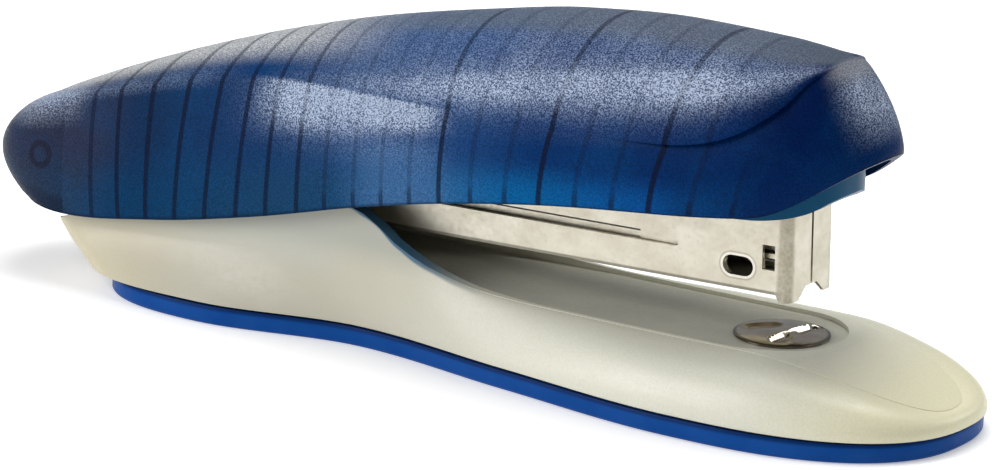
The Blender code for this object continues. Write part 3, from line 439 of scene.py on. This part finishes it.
def nickel_look():
    """Plated sheet: warm, faintly mottled, with painted shade at the front bend, a painted highlight on the
    oval hole's lip and painted shade in the groove round it.
    """
    look = Look("nickel_sheet", roughness=0.3, metallic=1.0)
    x, y, z = look.axes()
    patch = look.ramp(look.noise(6.0, 4.0, (1, 1, 1.5)), 0.3, 0.7)
    metal = look.blend(patch, (0.590, 0.550, 0.445), (0.690, 0.655, 0.550))
    speck = look.ramp(look.noise(0.7, 3.0, roughness=0.7), 0.55, 0.75, 0.0, 0.45)
    metal = look.blend(speck, metal, (0.480, 0.430, 0.330))
    side = look.math("ABSOLUTE", y)
    # Painted shade at the front bend of the sheet.
    bend = look.product(look.ramp(x, 63.6, 64.4), look.ramp(side, 5.2, 6.4))
    metal = look.blend(look.product(bend, look.ramp(look.noise(0.6, 2.0), 0.3, 0.7, 0.45, 0.65)), metal,
                       (0.230, 0.205, 0.140))
    ahead = look.math("SUBTRACT", x, PIVOT[0])
    above = look.math("SUBTRACT", z, PIVOT[2])
    along = look.math("ADD", look.product(ahead, cos(PITCH)), look.product(above, sin(PITCH)))
    up = look.math("SUBTRACT", look.product(above, cos(PITCH)), look.product(ahead, sin(PITCH)))
    reach = look.math("ABSOLUTE", look.math("SUBTRACT", along, OVAL_MIDDLE[0]))
    over = look.math("MAXIMUM", look.math("SUBTRACT", reach, OVAL_HALF_STRAIGHT), 0.0)
    ring = look.distance(over, look.math("SUBTRACT", up, OVAL_MIDDLE[1]))
    outer_face = look.ramp(side, 7.0, 7.15)
    # Painted highlight on the lip round the oval hole.
    lip = look.product(look.ramp(ring, 2.10, 1.95), outer_face)
    metal = look.blend(look.product(lip, 0.6), metal, (0.860, 0.830, 0.760))
    # Painted shade in the groove round the lip.
    groove = look.product(look.ramp(ring, 2.45, 2.20), look.ramp(ring, 2.05, 2.15), outer_face)
    metal = look.blend(look.product(groove, 0.45), metal, (0.180, 0.160, 0.120))
    seam = look.product(look.ramp(up, -3.45, -3.75), outer_face, look.ramp(along, 146.0, 144.0))
    metal = look.blend(look.product(seam, 0.75), metal, (0.130, 0.120, 0.090))
    look.color(metal)
    look.roughness(look.ramp(look.noise(0.9, 3.0), 0.3, 0.7, 0.33, 0.46))
    look.bump(look.noise(0.8, 3.0), 0.10, 0.02)
    return look.material


def chrome_look(name, tint, roughness):
    look = Look(name, roughness=roughness, metallic=1.0)
    patch = look.ramp(look.noise(3.0, 4.0), 0.3, 0.7)
    look.color(look.blend(patch, tuple(c * 0.8 for c in tint), tint))
    look.roughness(look.ramp(look.noise(5.0, 3.0), 0.3, 0.7, roughness * 0.85, roughness * 1.25))
    look.bump(look.noise(1.2, 2.0), 0.05, 0.01)
    return look.material


def anvil_look():
    """Warm polished steel with painted shade round its rim."""
    look = Look("anvil_chrome", roughness=0.16, metallic=1.0)
    x, y, z = look.axes()
    patch = look.ramp(look.noise(3.0, 4.0), 0.3, 0.7)
    steel = look.blend(patch, (0.500, 0.440, 0.360), (0.620, 0.550, 0.450))
    reach = look.distance(look.math("SUBTRACT", x, ANVIL_X), y)
    # Painted shade round the plate's rim.
    steel = look.blend(look.ramp(reach, 7.35, 7.8, 0.0, 0.85), steel, (0.110, 0.095, 0.070))
    look.color(steel)
    look.roughness(look.ramp(look.noise(5.0, 3.0), 0.3, 0.7, 0.14, 0.20))
    look.bump(look.noise(1.2, 2.0), 0.05, 0.01)
    return look.material


LOOKS = {
    "blue_cover": cover_look(),
    "teal_liner": plain_look("teal_liner", (0.004, 0.078, 0.170), 0.34, Specular_IOR_Level=0.08),
    "cover_inside": plain_look("cover_inside", (0.004, 0.040, 0.140), 0.4, Specular_IOR_Level=0.2),
    "pearl_plastic": pearl_look(),
    "blue_sole": sole_look(),
    "nickel_sheet": nickel_look(),
    "anvil_chrome": anvil_look(),
    "inner_steel": chrome_look("inner_steel", (0.56, 0.56, 0.57), 0.3),
    "spring_steel": chrome_look("spring_steel", (0.42, 0.43, 0.46), 0.25),
    "black_plastic": plain_look("black_plastic", (0.02, 0.02, 0.024), 0.5),
}


# ---------------------------------------------------------------- pieces

def new_piece(name, mesh, body, slot, nodes=(), look=None, sharp_deg=28):
    obj = bpy.data.objects.new(name, mesh)
    bpy.context.scene.collection.objects.link(obj)
    mesh.materials.append(LOOKS[look or slot])
    mesh.shade_smooth()
    mesh.set_sharp_from_angle(angle=radians(sharp_deg))
    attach(obj, body)
    if nodes:
        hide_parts(*nodes)
    return obj


def mesh_from(bm, name):
    bmesh.ops.remove_doubles(bm, verts=bm.verts, dist=0.01 * MM)
    bmesh.ops.recalc_face_normals(bm, faces=bm.faces)
    mesh = bpy.data.meshes.new(name)
    bm.to_mesh(mesh)
    bm.free()
    return mesh


def full_ring(half):
    """A half section, y at least 0, completed with its mirror image."""
    return [(x, -y, z) for x, y, z in half] + [(x, y, z) for x, y, z in half[::-1]][1:]


def grid_faces(bm, rings, closed=False):
    """Joins rings of drawing points, all with the same count, by a grid of faces."""
    rows = [[bm.verts.new(place(p)) for p in ring] for ring in rings]
    for row, following in zip(rows, rows[1:]):
        for j in range(len(row) if closed else len(row) - 1):
            k = (j + 1) % len(row)
            bm.faces.new((row[j], row[k], following[k], following[j]))
    return rows


def border(bm, first, second):
    for j in range(len(first) - 1):
        bm.faces.new((first[j], first[j + 1], second[j + 1], second[j]))


def cutter(name, bm):
    obj = bpy.data.objects.new(name, mesh_from(bm, name))
    bpy.context.scene.collection.objects.link(obj)
    obj.hide_render = True
    return obj


def carve(target, tool, operation="DIFFERENCE"):
    """Cuts the tool out of the target's mesh for good, and deletes the tool."""
    modifier = target.modifiers.new("carve", "BOOLEAN")
    modifier.operation = operation
    modifier.solver = "EXACT"
    modifier.use_self = True
    modifier.object = tool
    bpy.context.view_layer.update()
    evaluated = target.evaluated_get(bpy.context.evaluated_depsgraph_get())
    carved = bpy.data.meshes.new_from_object(evaluated)
    target.modifiers.clear()
    target.data = carved
    bpy.data.objects.remove(tool)


def soften(obj, width_mm, segments, sharper_than_deg):
    bevel = obj.modifiers.new("soft edges", "BEVEL")
    bevel.width = width_mm * MM
    bevel.segments = segments
    bevel.limit_method = "ANGLE"
    bevel.angle_limit = radians(sharper_than_deg)
    return bevel


# ---------------------------------------------------------------- cover

def cover_edge_point(t, inset):
    """A point of the cover's lower edge, t of the way from the rear end to the nose."""
    x = mix(COVER_BOTTOM_X[0] + inset, COVER_BOTTOM_X[1] - inset, t)
    width = COVER_HALF_WIDTH - inset
    width *= end_round(x, -74, COVER_BOTTOM_X[0] + inset, 2.2)
    width *= end_round(x, 48, COVER_BOTTOM_X[1] - inset, 2.3)
    return Vector((x, width, smooth(COVER_EDGE_HEIGHTS, x)))


def cover_crease_point(t, inset):
    """A point of the crease between the cover's side and its top."""
    x = mix(CREASE_X[0] + inset, CREASE_X[1] - inset, t)
    width = smooth(CREASE_HALF_WIDTHS, x) - inset
    width *= end_round(x, -76, CREASE_X[0] + inset, 2.4) * end_round(x, 42, CREASE_X[1] - inset, 2.6)
    return Vector((x, width, smooth(CREASE_HEIGHTS, x) - inset * 0.6))


def plan_normal(t, inset):
    """The level direction that points straight out of the cover's lower edge."""
    step = 0.004
    before = cover_edge_point(max(t - step, 0.0), inset)
    after = cover_edge_point(min(t + step, 1.0), inset)
    if t in (0.0, 1.0):
        return Vector((2 * t - 1, 0, 0))
    return Vector((before.y - after.y, after.x - before.x, 0)).normalized()


def side_point(t, f, inset):
    """A point of the cover's side: f is 0 on the lower edge and 1 at the crease."""
    low = cover_edge_point(t, inset)
    high = cover_crease_point(t, inset)
    high.y = max(high.y - smooth(STEP_DEPTHS, high.x), 0.0)
    normal = plan_normal(t, inset)
    end_bulge = NOSE_BULGE if normal.x > 0 else REAR_BULGE
    bulge = mix(1.0, end_bulge, normal.x**2)
    point = low.lerp(high, f) + normal * bulge * max(sin(pi * f), 0) ** 0.7
    point.y = max(point.y, 0.0) if 0 < t < 1 else 0.0
    return point


def dome_point(t, g, inset):
    """A point of the cover's top: g is 0 at the crease and 1 on the middle line."""
    crease = cover_crease_point(t, inset)
    top = max(smooth(TOP_HEIGHTS, crease.x) - inset, crease.z)
    angle = pi / 2 * g
    out = cos(angle) ** (2 / 2.2) if g < 1 else 0.0
    up = sin(angle) ** (2 / smooth(DOME_POWERS, crease.x))
    return Vector((crease.x, crease.y * out, mix(crease.z, top, up)))


def cover_section(t, inset, side_steps, dome_steps):
    section = [side_point(t, i / side_steps, inset) for i in range(side_steps + 1)]
    section += [dome_point(t, i / dome_steps, inset) for i in range(dome_steps + 1)]
    return section


def build_cover():
    bm = bmesh.new()
    steps = cosine_steps(150)
    outer = grid_faces(bm, [full_ring(cover_section(t, 0.0, 20, 22)) for t in steps])
    inner = grid_faces(bm, [full_ring(cover_section(t, COVER_WALL, 20, 22)) for t in steps])
    inside = {vert for row in inner for vert in row}
    for face in bm.faces:
        face.material_index = int(all(vert in inside for vert in face.verts))
    border(bm, [row[0] for row in outer], [row[0] for row in inner])
    border(bm, [row[-1] for row in outer], [row[-1] for row in inner])
    skin = new_piece("cover_skin", mesh_from(bm, "cover_skin"), "cover", "blue_cover", ("top_cover",),
                     sharp_deg=16)
    skin.data.materials.append(LOOKS["cover_inside"])


LINER_X = (52.0, 73.0)
LINER_HALF_WIDTH = 13.9
LINER_WALL = 1.3
LINER_HEIGHTS = (0.0, 0.3, 2.5, 5.0)
LINER_EDGE_HEIGHTS = ((50, 34.4), (62, 34.9), (66, 35.4), (70, 36.5), (73, 38.6))


def liner_column(t, inset):
    """Points up the liner's wall, t of the way from its rear end to the middle of its nose."""
    front = LINER_X[1] - inset
    x = mix(LINER_X[0], front, t)
    width = (LINER_HALF_WIDTH - inset) * end_round(x, LINER_X[0], front, 2.6)
    low = smooth(LINER_EDGE_HEIGHTS, x)
    return [Vector((x, width, low + rise)) for rise in LINER_HEIGHTS]


def build_liner():
    bm = bmesh.new()
    columns = [sin(pi / 2 * i / 40) for i in range(41)]
    sheets = []
    for inset in (0.0, LINER_WALL):
        half = [liner_column(t, inset) for t in columns]
        near = [[Vector((p.x, -p.y, p.z)) for p in line] for line in half]
        sheets.append(grid_faces(bm, near + half[-2::-1]))
    outer, inner = sheets
    border(bm, outer[0], inner[0])
    border(bm, outer[-1], inner[-1])
    border(bm, [row[0] for row in outer], [row[0] for row in inner])
    border(bm, [row[-1] for row in outer], [row[-1] for row in inner])
    new_piece("nose_skirt", mesh_from(bm, "nose_skirt"), "cover", "teal_liner", ("nose_liner",))


# ---------------------------------------------------------------- base

BASE_HALF_WIDTHS = ((-69, 21.6), (-42, 22.0), (-12, 16.4), (20, 21.4), (55, 26.0), (96, 26.0))
RIM_HALF_WIDTHS = ((-90, 13.4), (-55, 13.4), (-40, 14.2), (-8, 14.2), (30, 13.8), (96, 13.8))
SHOULDER_HALF_WIDTHS = ((-90, 14.6), (-58, 14.6), (-35, 14.7), (-8, 14.3), (30, 13.8), (96, 13.8))
BULGE_POWERS = ((-30, 1.3), (20, 1.5), (45, 2.0), (75, 2.0), (92, 2.5))
BASE_REAR_X, BASE_FRONT_X = -68.4, 95.9
SHELL_REAR_X, SHELL_FRONT_X = -74.0, 97.2
RIM_REAR_X, RIM_FRONT_X = -81.0, 94.0
SHELL_BOTTOM_Z = 3.5
FLOOR_Z = 12.4
WALL_INNER = 11.8
TRAY_HALF = 13.1
TRAY_FRONT_X, TRAY_FRONT_LENGTH = 58.0, 13.5
FLARE_POWER = 1.4
SOLE_RIMS = ((0.7, 0.0), (0.25, 0.12), (0.0, 0.5), (0.0, 2.9), (0.15, 3.2))


def base_outline_point(t, inset, rear_x, front_x):
    x = mix(rear_x + inset, front_x - inset, t)
    width = smooth(BASE_HALF_WIDTHS, x) - inset
    width *= end_round(x, rear_x + 27, rear_x + inset, 2.8)
    width *= end_round(x, 58, front_x - inset, 2.4)
    return x, width


def base_section(t):
    """Half of a slice of the base: underside, flared skirt, shoulder, rim and crowned top."""
    foot_x, foot_y = base_outline_point(t, 0.6, SHELL_REAR_X, SHELL_FRONT_X)
    rim_x = mix(RIM_REAR_X, RIM_FRONT_X, t)
    rounding = end_round(rim_x, -74, RIM_REAR_X, 2.6) * end_round(rim_x, 62, RIM_FRONT_X, 2.3)
    rim_y = smooth(RIM_HALF_WIDTHS, rim_x) * rounding
    shoulder_y = smooth(SHOULDER_HALF_WIDTHS, rim_x) * rounding
    rim_z = smooth(RIM_HEIGHTS, rim_x)
    wall_z = min(smooth(COVER_EDGE_HEIGHTS, rim_x) - (rim_x - PIVOT[0]) * 0.1 - 0.6, rim_z - 0.1)
    power = smooth(BULGE_POWERS, rim_x)
    bulging = smooth(((-25, 0.0), (25, 1.0)), rim_x)
    section = [(foot_x, 0.0, SHELL_BOTTOM_Z), (foot_x, foot_y / 2, SHELL_BOTTOM_Z)]
    for i in range(19):
        angle = pi / 2 * i / 18
        up = sin(angle) ** (2 / power)
        out = mix((1 - up) ** FLARE_POWER, cos(angle) ** (2 / power), bulging)
        height = mix(SHELL_BOTTOM_Z, wall_z, up)
        section.append((mix(rim_x, foot_x, out), mix(shoulder_y, foot_y, out), height))
    section.append((rim_x, rim_y, rim_z))
    crown = 0.5 * end_round(rim_x, 62, RIM_FRONT_X, 2.2)
    section += [(rim_x, rim_y * out, rim_z + crown * (1 - out**2)) for out in (0.9, 0.75, 0.55, 0.3, 0.0)]
    return section


def tray_outline():
    """The tray's plan: narrow between the ears, wider in front, with a rounded end."""
    half = [(-100, WALL_INNER), (-8, WALL_INNER), (22, TRAY_HALF), (TRAY_FRONT_X, TRAY_HALF)]
    for i in range(1, 25):
        angle = pi / 2 * i / 24
        width = TRAY_HALF * cos(angle) ** 0.8 if i < 24 else 0.0
        half.append((TRAY_FRONT_X + TRAY_FRONT_LENGTH * sin(angle), width))
    return half + [(x, -y) for x, y in half[-2::-1]]


def cavity_outline():
    """The plan of the hollow underneath."""
    half = []
    for t in cosine_steps(60):
        x = mix(-56, 72, t)
        rounding = end_round(x, -46, -56, 2.4) * end_round(x, 56, 72, 2.4)
        half.append((x, 0.72 * smooth(BASE_HALF_WIDTHS, x) * rounding))
    return half + [(x, -y) for x, y in half[-2:0:-1]]


def prism(name, outline, low_z, high_z):
    """A cutter: an (x, y) outline between two heights."""
    bm = bmesh.new()
    rows = [[bm.verts.new(place((x, y, z))) for x, y in outline] for z in (low_z, high_z)]
    for j in range(len(outline)):
        k = (j + 1) % len(outline)
        bm.faces.new((rows[0][j], rows[0][k], rows[1][k], rows[1][j]))
    bm.faces.new(rows[0])
    bm.faces.new(rows[1])
    return cutter(name, bm)


def drum(name, radius, start, end, segments=96):
    """A cutter: a cylinder from start to end."""
    bm = bmesh.new()
    way = (Vector(end) - Vector(start)) * MM
    turn = way.to_track_quat("Z", "Y").to_matrix().to_4x4()
    spot = Matrix.Translation(place(start) + way / 2) @ turn
    bmesh.ops.create_cone(bm, cap_ends=True, segments=segments, radius1=radius * MM, radius2=radius * MM,
                          depth=way.length, matrix=spot)
    return cutter(name, bm)


def build_base():
    bm = bmesh.new()
    grid_faces(bm, [full_ring(base_section(t))[:-1] for t in cosine_steps(84)], closed=True)
    shell = new_piece("base_body", mesh_from(bm, "base_body"), "base", "pearl_plastic", ("base_shell",))
    carve(shell, drum("relief", 12.0, (PIVOT[0], -40, PIVOT[2]), (PIVOT[0], 40, PIVOT[2])))
    carve(shell, drum("stem", 3.4, (ANVIL_X, 0, 2), (ANVIL_X, 0, 20), 32))
    carve(shell, prism("cavity", cavity_outline(), -1, 9.4))
    carve(shell, prism("tray", tray_outline(), FLOOR_Z, 45))
    rear_gap = [(-100, -WALL_INNER), (-71, -WALL_INNER), (-71, WALL_INNER), (-100, WALL_INNER)]
    carve(shell, prism("rear", rear_gap, 7.0, 45))
    shell.data.shade_smooth()
    shell.data.set_sharp_from_angle(angle=radians(30))
    soften(shell, 0.35, 3, 40).harden_normals = True


def build_sole():
    bm = bmesh.new()
    steps = cosine_steps(110)
    rings = []
    for inset, z in SOLE_RIMS:
        rings.append([(*base_outline_point(t, inset, BASE_REAR_X, BASE_FRONT_X), z) for t in steps])
    top_z = SOLE_RIMS[-1][1]
    sections = []
    for line in zip(*rings):
        low, high = line[0], line[-1]
        sections.append([(low[0], 0.0, 0.0), (low[0], low[1] / 2, 0.0), *line,
                         (high[0], high[1] / 2, top_z), (high[0], 0.0, top_z)])
    grid_faces(bm, [full_ring(section)[:-1] for section in sections], closed=True)
    new_piece("sole_pad", mesh_from(bm, "sole_pad"), "base", "blue_sole", ("base_sole",))


def build_anvil():
    """The anvil: a low polished dome with a long and a short slanting clinch pocket, on its stem."""
    dome_z, edge_z, stem_z, stem_radius = 12.75, 12.43, 5.0, 2.85

    def pocket(x, y, heading_deg, half_length, half_width):
        """1 on the flat bottom of a slanting pocket about the origin, falling to 0 at its lip."""
        along = x * cos(radians(heading_deg)) + y * sin(radians(heading_deg))
        across = y * cos(radians(heading_deg)) - x * sin(radians(heading_deg))
        over = max(abs(along) - half_length + half_width, 0.0)
        reach = hypot(over, across) / half_width
        return 1 - min(max((reach - 0.35) / 0.65, 0.0), 1.0) ** 2

    def top(x, y):
        reach = min(hypot(x, y) / ANVIL_RADIUS, 1.0)
        saddle = 1 - 0.35 * max(1 - ((y - 0.4) / 1.8) ** 2, 0.0)
        long_one = saddle * pocket(x - 2.6, y - 0.4, 84, 6.9, 1.6)
        short_one = 0.7 * pocket(x + 4.0, y + 0.1, 40, 3.9, 2.0)
        hollow = max(long_one, short_one) * min(4 * (1 - reach), 1.0)
        return dome_z + 0.75 * (1 - reach**2) ** 0.75 - hollow

    bm = bmesh.new()
    around = [2 * pi * k / 120 for k in range(120)]
    rings = []
    for i in range(1, 61):
        r = ANVIL_RADIUS * (1 - (1 - i / 60) ** 1.25)
        rings.append([(ANVIL_X + r * cos(a), r * sin(a), top(r * cos(a), r * sin(a))) for a in around])
    underside = ((ANVIL_RADIUS, 12.48), (ANVIL_RADIUS - 0.15, edge_z), (stem_radius, edge_z),
                 (stem_radius, stem_z + 0.4), (stem_radius - 0.35, stem_z))
    for r, z in underside:
        rings.append([(ANVIL_X + r * cos(a), r * sin(a), z) for a in around])
    rows = grid_faces(bm, rings, closed=True)
    for row, z in ((rows[0], top(0, 0)), (rows[-1], stem_z)):
        middle = bm.verts.new(place((ANVIL_X, 0, z)))
        for k in range(len(row)):
            bm.faces.new((row[k], row[(k + 1) % len(row)], middle))
    new_piece("anvil_plate", mesh_from(bm, "anvil_plate"), "anvil", "anvil_chrome", ("anvil",),
              sharp_deg=50)


# ---------------------------------------------------------------- springs

def spring_piece(node, body, reshape=None):
    """A piece with the shape of a CAD spring, moved point by point (in drawing mm) by reshape."""
    source = frame["nodes"][node]
    mesh = source.data.copy()
    mesh.materials.clear()
    mesh.transform(source.matrix_world)
    if reshape:
        for vert in mesh.vertices:
            vert.co = place(reshape((vert.co - ORIGIN) / MM))
    return new_piece(node + "_piece", mesh, body, "spring_steel", (node,), sharp_deg=50)


def part_way(value, start, length):
    """0 before start, rising evenly to 1 over the length."""
    return min(max((value - start) / length, 0), 1)


def build_springs():
    """The coil is the CAD spring as it stands, and the two leaves are reshaped to leave room for the last
    of the stroke.
    """
    leaf_foot_z, leaf_lift, closed_share = 14.2, 2.6, 0.19
    coil = spring_piece("pusher_spring", "magazine")
    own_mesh(coil)

    def low_leaf(point):
        rise = mix(1.0, 0.36, part_way(point.x, -44, 20))
        return (point.x, point.y, leaf_foot_z + (point.z - leaf_foot_z) * rise)

    def high_leaf(point):
        return (point.x, point.y, point.z + leaf_lift * part_way(point.x, -45, 53) ** 1.5)

    spring_piece("return_spring", "base", low_leaf)
    spring_piece("handle_spring", "cover", high_leaf)


# ---------------------------------------------------------------- carried-over CAD nodes

FOLDED_NODES = ("magazine_channel", "staple_rail", "pusher", "handle_frame", "hinge_bracket")


def dress_cad_nodes():
    """Gives every CAD node its own slot's material, and softens the edges of the nodes in FOLDED_NODES."""
    slots = {part["node"]: part["material_slot"] for part in frame["record"]["subparts"]}
    for node, obj in frame["nodes"].items():
        obj.data.materials.clear()
        obj.data.materials.append(LOOKS[slots[node]])
        if node in FOLDED_NODES:
            soften(obj, 0.12, 2, 35)


# ---------------------------------------------------------------- studio

def build_studio():
    bm = bmesh.new()
    bmesh.ops.create_circle(bm, cap_ends=True, segments=96, radius=3.0)
    mesh = bpy.data.meshes.new("floor")
    bm.to_mesh(mesh)
    bm.free()
    floor = bpy.data.objects.new("floor", mesh)
    bpy.context.scene.collection.objects.link(floor)
    look = Look("pale_floor", roughness=0.6, Emission_Color=(1.0, 1.0, 1.0, 1.0), Emission_Strength=0.3)
    look.color(look.blend(look.noise(40.0, 2.0), (0.84, 0.84, 0.84), (0.86, 0.86, 0.86)))
    look.put(look.shader.inputs["Specular IOR Level"], 0.0)
    mesh.materials.append(look.material)

    world = bpy.data.worlds.new("studio")
    bpy.context.scene.world = world
    world.use_nodes = True
    world.node_tree.nodes["Background"].inputs[0].default_value = (0.92, 0.95, 1.0, 1)
    world.node_tree.nodes["Background"].inputs[1].default_value = 0.28

    lamps = (("overhead", (-0.10, 0.30, 0.95), 0.9, (0.60, 0.50), 6.5, (1.0, 0.99, 0.97)),
             ("tall_left", (-0.54, -0.66, 0.52), 1.0, (0.50, 0.80), 6.5, (1.0, 0.99, 1.0)),
             ("back_right", (0.47, 0.78, 0.41), 1.1, (0.40, 0.40), 2.0, (1.0, 1.0, 1.0)))
    for name, way, distance, size, power, tint in lamps:
        lamp = bpy.data.lights.new(name, "AREA")
        lamp.shape = "RECTANGLE"
        lamp.size, lamp.size_y = size
        lamp.energy = power
        lamp.color = tint
        obj = bpy.data.objects.new(name, lamp)
        direction = Vector(way).normalized()
        obj.location = direction * distance + Vector((0, 0, 0.03))
        obj.rotation_euler = direction.to_track_quat("Z", "Y").to_euler()
        bpy.context.scene.collection.objects.link(obj)
    bpy.context.scene.view_settings.view_transform = "Standard"
    bpy.context.scene.view_settings.look = "None"


def build_camera():
    azimuth, elevation, roll = radians(32.5), radians(15.71), radians(2.05)
    ahead = Vector((-sin(azimuth) * cos(elevation), cos(azimuth) * cos(elevation), -sin(elevation)))
    level = Vector((cos(azimuth), sin(azimuth), 0))
    upright = level.cross(ahead)
    right = cos(roll) * level + sin(roll) * upright
    up = cos(roll) * upright - sin(roll) * level
    camera = bpy.data.cameras.new("camera")
    camera.lens = 217.9
    camera.sensor_width = 36
    obj = bpy.data.objects.new("camera", camera)
    obj.matrix_world = Matrix((right, up, -ahead)).transposed().to_4x4()
    obj.location = (0.53353, -0.83034, 0.29621)
    bpy.context.scene.collection.objects.link(obj)
    bpy.context.scene.camera = obj


build_cover()
build_liner()
build_base()
build_sole()
build_anvil()
build_springs()
dress_cad_nodes()
build_studio()
build_camera()
